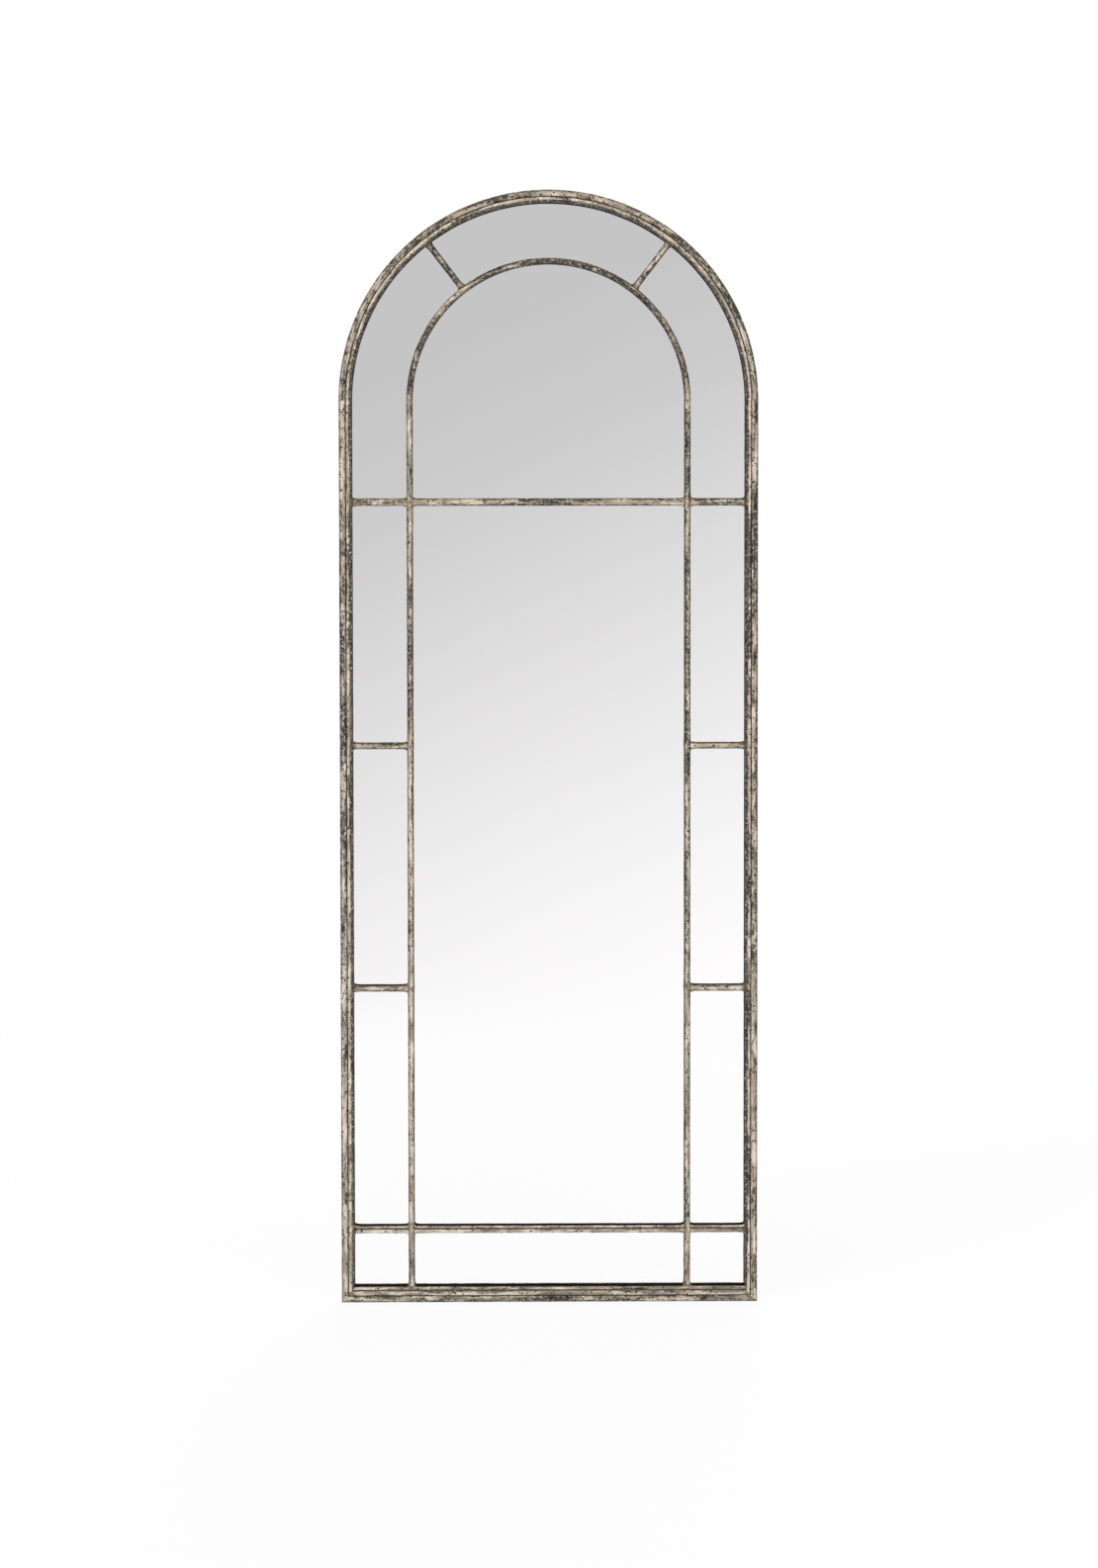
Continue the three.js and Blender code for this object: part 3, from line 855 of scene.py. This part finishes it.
def bead_look(face, worn_and_shaded_share=1):
    """Painted shade and dirt in the groove, painted shade deep down the inner side, wear and painted shade
    along the inner edge, and a painted highlight along the outer.
    """

    def look(a, b):
        groove = fall(a - TUBE_FACE, *BEAD_GROOVE)
        inner = fall(BEAD_FRONT + BEAD_SIDE_FROM - b, *BEAD_SIDE)
        worn_and_shaded = worn_and_shaded_share * fall(TUBE_FACE + face - a, *BEAD_EDGE)
        # A pale painted highlight along the outer edge.
        painted_highlight = np.exp(-np.square((a - TUBE_FACE - HIGHLIGHT_LINE) / HIGHLIGHT_WIDTH))
        return {"shade": np.maximum(groove, inner), "edge": worn_and_shaded - painted_highlight}

    return look


def bar_look(half, lined):
    """Rubbed along the front edges, with painted shade down the sides. A lined bar has a black top of painted
    shade and a pale foot.
    """

    def look(a, b):
        side = fall(BAR_FRONT + BAR_SIDE_FROM - b, *BAR_SIDE)
        edge = fall(np.hypot(half - abs(a), b - BAR_FRONT), *BAR_EDGE)
        if lined:
            # Painted shade: the lined bar's top side turns black close behind its front.
            side = np.where(a > 0, fall(BAR_FRONT + LINED_SIDE_FROM - b, *LINED_SIDE), side)
            edge = LINED_FOOT_KEPT * fall(a, *LINED_FOOT)
        return {"shade": side, "edge": edge}

    return look


# ---------- Steelwork ----------

# How far back the paint reaches on beads and bars. Behind it the sides take the black painted shade.
BEAD_PAINT_DEPTH = 5.2 * MM
BAR_PAINT_DEPTH = 2.4 * MM
SILL_LINE = SILL - 4.3 * MM
TRANSOM_LINE = 1.3 * MM
GRIME = 0.6
SILL_GRIME = 0.8

# How far the paint has worn near the floor and higher up.
WEAR = {
    "left_stile": (-0.08, 0.14),
    "right_stile": (-0.02, 0.10),
    "arch_rim": (0.14, 0.14),
    "bottom_rail": (0.04, 0.04),
    "left_bead": (-0.02, 0.08),
    "right_bead": (0.24, 0.30),
    "arch_bead": (0.14, 0.14),
    "bottom_bead": (0.04, 0.04),
    "left_upright": (-0.16, 0.06),
    "right_upright": (-0.02, 0.08),
    "left_spoke": (0.12, 0.12),
    "right_spoke": (0.12, 0.12),
    "inner_arch": (0.14, 0.14),
}
CROSS_WEAR = (0.0, 0.04)

SEEDS = {
    "left_stile": 1,
    "right_stile": 2,
    "arch_rim": 3,
    "bottom_rail": 4,
    "left_bead": 11,
    "right_bead": 12,
    "arch_bead": 13,
    "bottom_bead": 14,
    "left_upright": 21,
    "right_upright": 22,
    "left_spoke": 23,
    "right_spoke": 24,
    "inner_arch": 25,
    "lower_transom_left": 26,
    "lower_transom_right": 27,
    "lower_transom_middle": 28,
    "low_side_bar_left": 29,
    "low_side_bar_right": 30,
    "high_side_bar_left": 31,
    "high_side_bar_right": 32,
    "upper_transom_left": 33,
    "upper_transom_right": 34,
    "upper_transom_middle": 35,
}


def is_lined(node):
    return node.startswith("lower_transom")


def paint_of(node):
    line = TRANSOM_LINE if is_lined(node) else None
    if node == "bottom_bead":
        line = SILL_LINE
    grime = SILL_GRIME if node.startswith("bottom") else GRIME
    return distressed_paint(f"{node}_paint", WEAR.get(node, CROSS_WEAR), SEEDS[node], grime, line)


def build_member(node, outline, look, length, place, ends, black):
    """One length of the frame's tube or of its bead."""
    levels = list(CROSS_BARS.values()) if node.startswith(tuple(SIDES)) else ()
    member = sweep(f"{node}_steel", outline, length, place, look, SEEDS[node], levels, ends)
    dress(member, node, ROOT_BODY, paint_of(node))
    if node.endswith("bead"):
        blacken_sides(member, BEAD_FRONT + BEAD_PAINT_DEPTH, black)


def build_frame_members(black):
    sill_face = SILL - TUBE_FACE
    bead_face = BAND - TUBE_FACE
    tube = bar_section(0, TUBE_FACE, TUBE_FRONT, TUBE_BACK)
    side_bead = bar_section(TUBE_FACE, BAND, BEAD_FRONT, BEAD_BACK)
    sill_bead = bar_section(TUBE_FACE, SILL, BEAD_FRONT, BEAD_BACK)
    side_look = bead_look(bead_face)
    sill_look = bead_look(sill_face, worn_and_shaded_share=0)
    for side, sign in SIDES.items():
        run = (SPRINGING, upward(sign * OUTER_X, -sign))
        build_member(f"{side}_stile", tube, tube_look, *run, (diagonal(1), square), black)
        mitre = (diagonal(sill_face / bead_face), square)
        build_member(f"{side}_bead", side_bead, side_look, *run, mitre, black)
    run = (math.pi * OUTER_X, over_arch(OUTER_X))
    build_member("arch_rim", tube, tube_look, *run, SQUARE_ENDS, black)
    build_member("arch_bead", side_bead, side_look, *run, SQUARE_ENDS, black)
    run = (2 * OUTER_X, rightward(-OUTER_X, 0))
    build_member("bottom_rail", tube, tube_look, *run, (diagonal(1),) * 2, black)
    mitre = (diagonal(bead_face / sill_face),) * 2
    build_member("bottom_bead", sill_bead, sill_look, *run, mitre, black)


def build_bar(node, length, place, black, half=BAR_HALF, bulges=(), flared_ends=(True, True)):
    """A glazing bar, wider where it is welded: at its flared ends, and in low bulges where others meet it."""
    flares = [(at, FLARE, FLARE_REACH) for at, flared in zip((0, length), flared_ends) if flared]
    flares += [(at, BULGE, BULGE_REACH) for at in bulges]
    dense = [at for at, _, _ in flares]
    outline = bar_section(-half, half, BAR_FRONT, BAR_BACK)
    look = bar_look(half, is_lined(node))
    bar = sweep(f"{node}_steel", outline, length, place, look, SEEDS[node], dense, flares=flares)
    dress(bar, node, ROOT_BODY, paint_of(node))
    blacken_sides(bar, BAR_FRONT + BAR_PAINT_DEPTH, black)


def build_upright_bars(black):
    levels = [z - SILL for z in CROSS_BARS.values()]
    for side, sign in SIDES.items():
        place = upward(sign * UPRIGHT_X, -sign, SILL)
        length = SPRINGING - SILL
        build_bar(f"{side}_upright", length, place, black, bulges=levels, flared_ends=(True, False))
        place = outward(sign * SPOKE_ANGLE, SPOKE_FROM)
        build_bar(f"{side}_spoke", SPOKE_TO - SPOKE_FROM, place, black)
    place = over_arch(UPRIGHT_X)
    build_bar("inner_arch", math.pi * UPRIGHT_X, place, black, flared_ends=(False, False))


def build_cross_bars(black):
    side_length = BEAD_INNER_X - UPRIGHT_OUTER_X
    for level, z in CROSS_BARS.items():
        half = TRANSOM_HALF if level in TRANSOMS else BAR_HALF
        build_bar(f"{level}_left", side_length, rightward(-BEAD_INNER_X, z), black, half)
        build_bar(f"{level}_right", side_length, rightward(UPRIGHT_OUTER_X, z), black, half)
        if level in TRANSOMS:
            place = rightward(-UPRIGHT_INNER_X, z)
            build_bar(f"{level}_middle", 2 * UPRIGHT_INNER_X, place, black, half)


# ---------- Hardware of the back ----------

ROUND_STEPS = 64

SCREW_SHANK_RADIUS = 1.6 * MM
SCREW_POINT_RADIUS = 0.16 * MM
SCREW_POINT = 2.0 * MM
SCREW_HEAD_HEIGHT = 2.0 * MM
SCREW_HEAD_STEPS = 26
SCREW_HEAD_POWER = 3.4
RECESS_LENGTH = 3.8 * MM
RECESS_WIDTH = 0.9 * MM
RECESS_DEPTH = 1.2 * MM
RECESS_SLOPE = 0.15 * MM

BUTTON_HOLE_RADIUS = 1.9 * MM
BUTTON_TIP_RADIUS = 3.2 * MM
BUTTON_ROOT_STEPS = 48
BUTTON_TIP_STEPS = 32
PRESSED_EDGE = 0.35 * MM
# The upper rim, as how far in and down in pressed edges, and the hole's, as a share of its radius and down.
BUTTON_RIM = ((0.0, 1.2), (0.35, 0.35), (1.2, 0.0))
BUTTON_HOLE_RIM = ((1.25, 0.0), (1.08, 0.1), (1.0, 0.5))

WIRE_STEPS = 16
RING_CORNER = 2.4 * MM
RING_STRAIGHT_STEPS = 12
RING_CORNER_STEPS = 10
RING_BOW_STEPS = 48

STRAP_THICKNESS = 1.2 * MM
STRAP_EDGE = 0.25 * MM
STRAP_END_RADIUS = 5 * MM
STRAP_END_START = 0.12
STRAP_END_STEPS = 9
STRAP_STEPS = 12
CURL_END = math.radians(-112)
CURL_STEPS = 30

BUMPER_STEPS = 24
BUMPER_POWER = 6.0
DISH_DEPTH = 0.06
DISH_RADIUS = 0.6


def centre(node):
    low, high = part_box(node)
    return (np.array(low) + np.array(high)) / 2


def superellipse(radius, height, steps, power):
    """A profile as rows of (radius, height), from the middle of a domed top down to its rim."""
    angles = np.linspace(math.pi / 2, 0, steps)[1:]
    return [(radius * math.cos(t) ** (2 / power), height * math.sin(t) ** (2 / power)) for t in angles]


def spun_rings(profile, at):
    """Rings round an axis along y. The profile's heights point to the wall from at."""
    angles = np.linspace(0, 2 * math.pi, ROUND_STEPS, endpoint=False)
    rings = [[(r * math.cos(t), h, r * math.sin(t)) for t in angles] for r, h in profile]
    return np.array(rings) + at


def finish_piece(name, mesh, node, body, material):
    make_solid(mesh)
    dress(add(name, mesh), node, body, material)


def build_screw(node, zinc):
    """A pan-head screw with a cross recess, pressed into its head."""
    (low, high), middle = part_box(node), centre(node)
    seat = high[Y] - SCREW_HEAD_HEIGHT
    shank = seat - low[Y]
    head_radius = (high[X] - low[X]) / 2
    head = superellipse(head_radius, SCREW_HEAD_HEIGHT, SCREW_HEAD_STEPS, SCREW_HEAD_POWER)
    stem = [
        (SCREW_SHANK_RADIUS, 0),
        (SCREW_SHANK_RADIUS, SCREW_POINT - shank),
        (SCREW_POINT_RADIUS, -shank),
    ]
    rings = spun_rings(head + stem, (middle[X], seat, middle[Z]))
    across = np.abs(rings - middle)[..., (X, Z)]
    ends = fall(across.max(2), RECESS_LENGTH / 2, RECESS_LENGTH / 2 + RECESS_SLOPE)
    walls = fall(across.min(2), RECESS_WIDTH / 2, RECESS_WIDTH / 2 + RECESS_SLOPE)
    recess = ends * walls * (rings[..., Y] > seat + SCREW_HEAD_HEIGHT / 2)
    rings[..., Y] -= RECESS_DEPTH * recess
    mesh = skin(f"{node}_steel", rings)
    # The recess mark also gives the zinc its painted shade there.
    give(mesh, "recess", "FLOAT", recess)
    finish_piece(f"{node}_steel", mesh, node, ROOT_BODY, zinc)


def pear_outline(root, tip, reach):
    """A round root at the origin and a smaller round tip, as rows of (point, outward direction)."""
    tip_x = reach - tip
    tangent = math.acos((root - tip) / tip_x)
    wide = np.linspace(tangent, 2 * math.pi - tangent, BUTTON_ROOT_STEPS)
    narrow = np.linspace(-tangent, tangent, BUTTON_TIP_STEPS)
    return np.vstack([arc((0, 0), root, wide), arc((tip_x, 0), tip, narrow)])


def build_turn_button(place, zinc):
    """A pressed plate with rounded edges, which turns on the screw through its wide end."""
    node = f"turn_button_{place}"
    low, high = span(node, Y)
    pivot = centre(f"turn_button_screw_{place}")
    corners = np.array([vertex.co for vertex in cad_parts[node].data.vertices]) - pivot
    spans = np.hypot(corners[:, X], corners[:, Z])
    reach, tip = spans.max(), corners[spans.argmax()]
    along = corners @ np.array([tip[X], 0, tip[Z]]) / reach
    outline = pear_outline(-along.min(), BUTTON_TIP_RADIUS, reach)
    points, normals = outline[:, :2], outline[:, 2:]
    hole = BUTTON_HOLE_RADIUS * points / np.linalg.norm(points, axis=1)[:, None]
    e = PRESSED_EDGE
    rows = [(hole, low), (points - e * normals, low), (points, low + e)]
    rows += [(points - inset * e * normals, high - drop * e) for inset, drop in BUTTON_RIM]
    rows += [(share * hole, high - drop * e) for share, drop in BUTTON_HOLE_RIM]
    angle = math.atan2(tip[Z], tip[X])
    turn = np.array([[math.cos(angle), math.sin(angle)], [-math.sin(angle), math.cos(angle)]])
    rings = []
    for flat, depth in rows:
        flat = flat @ turn + pivot[[X, Z]]
        rings.append(np.stack([flat[:, 0], np.full(len(flat), depth), flat[:, 1]], 1))
    mesh = skin(f"{node}_plate", np.array(rings), closed=True)
    finish_piece(f"{node}_plate", mesh, node, f"button_{place}", zinc)


def ring_path(radius, corner):
    """A D in the x-z plane whose straight side lies on z = 0, as rows of (x, z, outward x, outward z)."""
    corner_x = math.sqrt((radius - corner) ** 2 - corner**2)
    meeting = math.atan2(-corner, corner_x)
    other = -math.pi - meeting
    straight = [(x, 0.0, 0.0, 1.0) for x in np.linspace(-corner_x, corner_x, RING_STRAIGHT_STEPS)[1:-1]]
    return np.vstack([
        straight,
        arc((corner_x, -corner), corner, np.linspace(math.pi / 2, meeting, RING_CORNER_STEPS)),
        arc((0, 0), radius, np.linspace(meeting, other, RING_BOW_STEPS)[1:-1]),
        arc((-corner_x, -corner), corner, np.linspace(other, -1.5 * math.pi, RING_CORNER_STEPS)),
    ])


def build_hanger_ring(side, zinc):
    """A D of bent wire, whose straight side turns in the strap."""
    node = f"{side}_hanger_ring"
    (low, high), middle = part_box(node), centre(node)
    wire = (high[Y] - low[Y]) / 2
    radius = (high[X] - low[X]) / 2 - wire
    angles = np.linspace(0, 2 * math.pi, WIRE_STEPS, endpoint=False)
    away, aside = wire * np.cos(angles), wire * np.sin(angles)
    rings = []
    for x, z, out_x, out_z in ring_path(radius, RING_CORNER):
        rings.append(np.stack([x + out_x * away, aside, z + out_z * away], 1))
    rings = np.array(rings) + (middle[X], middle[Y], high[Z] - wire)
    mesh = skin(f"{node}_wire", rings, closed=True)
    finish_piece(f"{node}_wire", mesh, node, f"{side}_ring", zinc)


def strap_stations(length, eye):
    """The strap's middle line, from its round lower end up and round the eye, as rows of (y, z, outward y,
    outward z, how much narrower the strap is there)."""
    curl = eye - STRAP_THICKNESS / 2
    end = STRAP_END_RADIUS
    rounded = end * (1 - np.cos(np.linspace(STRAP_END_START, math.pi / 2, STRAP_END_STEPS)))
    rows = []
    for rise in [*rounded, *np.linspace(end, length, STRAP_STEPS)[1:]]:
        inset = end - math.sqrt(end**2 - max(0.0, end - rise) ** 2)
        rows.append((-curl, rise - length, -1.0, 0.0, inset))
    for row in arc((0, 0), curl, np.linspace(math.pi, CURL_END, CURL_STEPS)[1:]):
        rows.append((*row, 0.0))
    return rows


def build_hanger_strap(side, zinc):
    """A strip of steel curled round the straight side of the ring."""
    node = f"{side}_hanger_strap"
    (low, high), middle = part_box(node), centre(node)
    eye = (high[Y] - low[Y]) / 2
    half = (high[X] - low[X]) / 2
    hinge_z = high[Z] - eye
    t, e = STRAP_THICKNESS / 2, STRAP_EDGE
    rings = []
    for y, z, out_y, out_z, inset in strap_stations(hinge_z - low[Z], eye):
        w = half - inset
        section = [
            (-w + e, t),
            (w - e, t),
            (w, t - e),
            (w, e - t),
            (w - e, -t),
            (-w + e, -t),
            (-w, e - t),
            (-w, t - e),
        ]
        rings.append([(x, y + out_y * away, z + out_z * away) for x, away in section])
    mesh = skin(f"{node}_strip", np.array(rings) + (middle[X], middle[Y], hinge_z))
    finish_piece(f"{node}_strip", mesh, node, ROOT_BODY, zinc)


def build_bumper(node, rubber):
    """A low rubber foot with a shallow dish in its face."""
    (low, high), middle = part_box(node), centre(node)
    radius, height = (high[X] - low[X]) / 2, high[Y] - low[Y]
    profile = []
    for r, h in superellipse(radius, height, BUMPER_STEPS, BUMPER_POWER):
        dish = max(0.0, 1 - (r / (DISH_RADIUS * radius)) ** 2)
        profile.append((r, h - DISH_DEPTH * height * dish))
    mesh = skin(f"{node}_pad", spun_rings(profile, (middle[X], low[Y], middle[Z])))
    finish_piece(f"{node}_pad", mesh, node, ROOT_BODY, rubber)


def build_hardware():
    zinc, rubber = zinc_plate(), moulded_rubber()
    for node in list(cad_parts):
        if "screw" in node:
            build_screw(node, zinc)
        elif node.startswith("turn_button"):
            build_turn_button(node.removeprefix("turn_button_"), zinc)
        elif node.startswith("wall_bumper"):
            build_bumper(node, rubber)
    for side in SIDES:
        build_hanger_ring(side, zinc)
        build_hanger_strap(side, zinc)


def finish_flat_pieces():
    """The sheet, the board and the tapes keep their modelled shape and take a finish."""
    finishes = {"mirror_glass": mirror_silver(), "backing_board": fibreboard()}
    tape = foam_tape()
    for name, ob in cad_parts.items():
        if name in finishes or name.endswith("tape"):
            ob.data.materials.clear()
            ob.data.materials.append(finishes.get(name, tape))


# ---------- Studio ----------

WHITE = (1, 1, 1)
FILL_STRENGTH = 0.62
# How bright the studio in the mirror is, by how steeply the reflected ray rises.
GLOW = (
    (-0.19, 1.0),
    (-0.15, 0.95),
    (-0.07, 0.787),
    (-0.02, 0.682),
    (0.02, 0.610),
    (0.06, 0.572),
    (0.40, 0.530),
)
GLOW_TINT = (1.0, 0.986, 0.994)
# How far those levels tilt from left to right, and over what part of the view.
LEAN = 0.45
LEAN_REACH = 0.1

FLOOR_RADIUS = 3.2
FLOOR_CLEAR = 1.6
FLOOR_FADED = 0.97 * FLOOR_RADIUS
FLOOR_RINGS = (0.2, 0.5, 1.0, FLOOR_CLEAR, 2.4, FLOOR_RADIUS)
FLOOR_SPOKES = 64
FLOOR_WHITE = 0.96
FLOOR_GLOW = 0.86

# Name, place, diameter and power.
LAMPS = (
    ("key", (-2.4, -2.6, 3.6), 1.8, 62.0),
    ("fill", (2.8, -3.0, 2.6), 2.4, 26.0),
    ("rear", (0.6, 3.0, 3.0), 2.4, 52.0),
)
LAMP_AIM = (0, 0, 0.8)


def glow_ramp(n, rise):
    low, high = GLOW[0][0], GLOW[-1][0]
    ramp = n.make("ShaderNodeValToRGB")
    stops = ramp.color_ramp.elements
    while len(stops) < len(GLOW):
        stops.new(0.5)
    for stop, (at, level) in zip(stops, GLOW):
        stop.position = (at - low) / (high - low)
        stop.color = (*(level * share for share in GLOW_TINT), 1)
    n.set(ramp.inputs[0], n.straight(rise, low, high))
    return ramp.outputs[0]


def mirrored_ray(n, ray):
    return n.math("MAXIMUM", ray["Is Glossy Ray"], ray["Is Transmission Ray"])


def build_world():
    """White to the camera. What the mirror sees is a studio that darkens from its floor to its ceiling."""
    world = bpy.data.worlds.new("studio")
    bpy.context.scene.world = world
    world.use_nodes = True
    n = Nodes(world.node_tree)
    direction = n.make("ShaderNodeTexCoord").outputs["Generated"]
    lean = n.straight(n.part(direction, "X"), -LEAN_REACH, LEAN_REACH, -LEAN * LEAN_REACH, LEAN * LEAN_REACH)
    rise = n.math("SUBTRACT", n.part(direction, "Z"), lean)
    ray = n.make("ShaderNodeLightPath").outputs
    light = n.background(WHITE, FILL_STRENGTH)
    studio = n.background(glow_ramp(n, rise))
    unseen = n.blend(mirrored_ray(n, ray), light, studio)
    output = n.make("ShaderNodeOutputWorld")
    n.set(output.inputs["Surface"], n.blend(ray["Is Camera Ray"], unseen, n.background(WHITE)))


def floor_mesh():
    """A flat disc in rings of faces round a fan."""
    points = [(0, 0, 0)]
    faces = []
    for index, radius in enumerate(FLOOR_RINGS):
        outer = 1 + index * FLOOR_SPOKES
        inner = outer - FLOOR_SPOKES
        for k in range(FLOOR_SPOKES):
            angle = 2 * math.pi * k / FLOOR_SPOKES
            points.append((radius * math.cos(angle), radius * math.sin(angle), 0))
            following = (k + 1) % FLOOR_SPOKES
            if index == 0:
                faces.append((0, outer + k, outer + following))
            else:
                faces.append((inner + k, outer + k, outer + following, inner + following))
    mesh = bpy.data.meshes.new("floor")
    mesh.from_pydata(points, [], faces)
    return mesh


def floor_paper():
    """White paper that keeps a faint shadow, glows to camera and mirror, and fades out further away."""
    material, n = new_material("floor_paper")
    distance = n.make("ShaderNodeVectorMath", operation="LENGTH")
    n.set(distance.inputs[0], n.object_place())
    fade = n.step(distance.outputs["Value"], FLOOR_CLEAR, FLOOR_FADED)
    paper = n.make("ShaderNodeBsdfDiffuse")
    n.set(paper.inputs["Color"], (FLOOR_WHITE,) * 3)
    glow = n.make("ShaderNodeEmission")
    clear = n.make("ShaderNodeBsdfTransparent")
    ray = n.make("ShaderNodeLightPath").outputs
    seen = n.math("MAXIMUM", ray["Is Camera Ray"], mirrored_ray(n, ray))
    white = n.blend(n.math("MULTIPLY", seen, FLOOR_GLOW), paper.outputs[0], glow.outputs[0])
    output = n.make("ShaderNodeOutputMaterial")
    n.set(output.inputs["Surface"], n.blend(fade, white, clear.outputs[0]))
    return material


def build_floor():
    floor = add("floor", floor_mesh())
    floor.data.materials.append(floor_paper())


def build_lamps():
    for name, place, size, power in LAMPS:
        light = bpy.data.lights.new(name, "AREA")
        light.shape = "DISK"
        light.size = size
        light.energy = power
        lamp = bpy.data.objects.new(name, light)
        lamp.location = place
        aim = Vector(LAMP_AIM) - Vector(place)
        lamp.rotation_euler = aim.to_track_quat("-Z", "Y").to_euler()
        bpy.context.scene.collection.objects.link(lamp)


def build_camera():
    camera = bpy.data.cameras.new("camera")
    camera.sensor_width = SENSOR_MM
    camera.lens = FOCAL_PIXELS / PHOTO_HEIGHT * SENSOR_MM
    camera.shift_x = (PHOTO_WIDTH / 2 - PRINCIPAL_X) / PHOTO_HEIGHT
    camera.shift_y = (PRINCIPAL_Y - PHOTO_HEIGHT / 2) / PHOTO_HEIGHT
    ob = bpy.data.objects.new("camera", camera)
    level = Matrix.Rotation(math.pi / 2, 4, "X")
    tilt = Matrix.Rotation(-CAMERA_TILT, 4, "X")
    yaw = Matrix.Rotation(CAMERA_YAW, 4, "Z")
    roll = Matrix.Rotation(-CAMERA_ROLL, 4, "Z")
    ob.matrix_world = Matrix.Translation(CAMERA_PLACE) @ yaw @ tilt @ level @ roll
    bpy.context.scene.collection.objects.link(ob)
    bpy.context.scene.camera = ob


bpy.context.scene.view_settings.view_transform = "Standard"
build_camera()
build_world()
build_floor()
build_lamps()
# The sides behind the painted fronts take a near-black painted shade.
side_shade = shadow_black("painted_side_shade")
build_frame_members(side_shade)
build_upright_bars(side_shade)
build_cross_bars(side_shade)
build_hardware()
finish_flat_pieces()
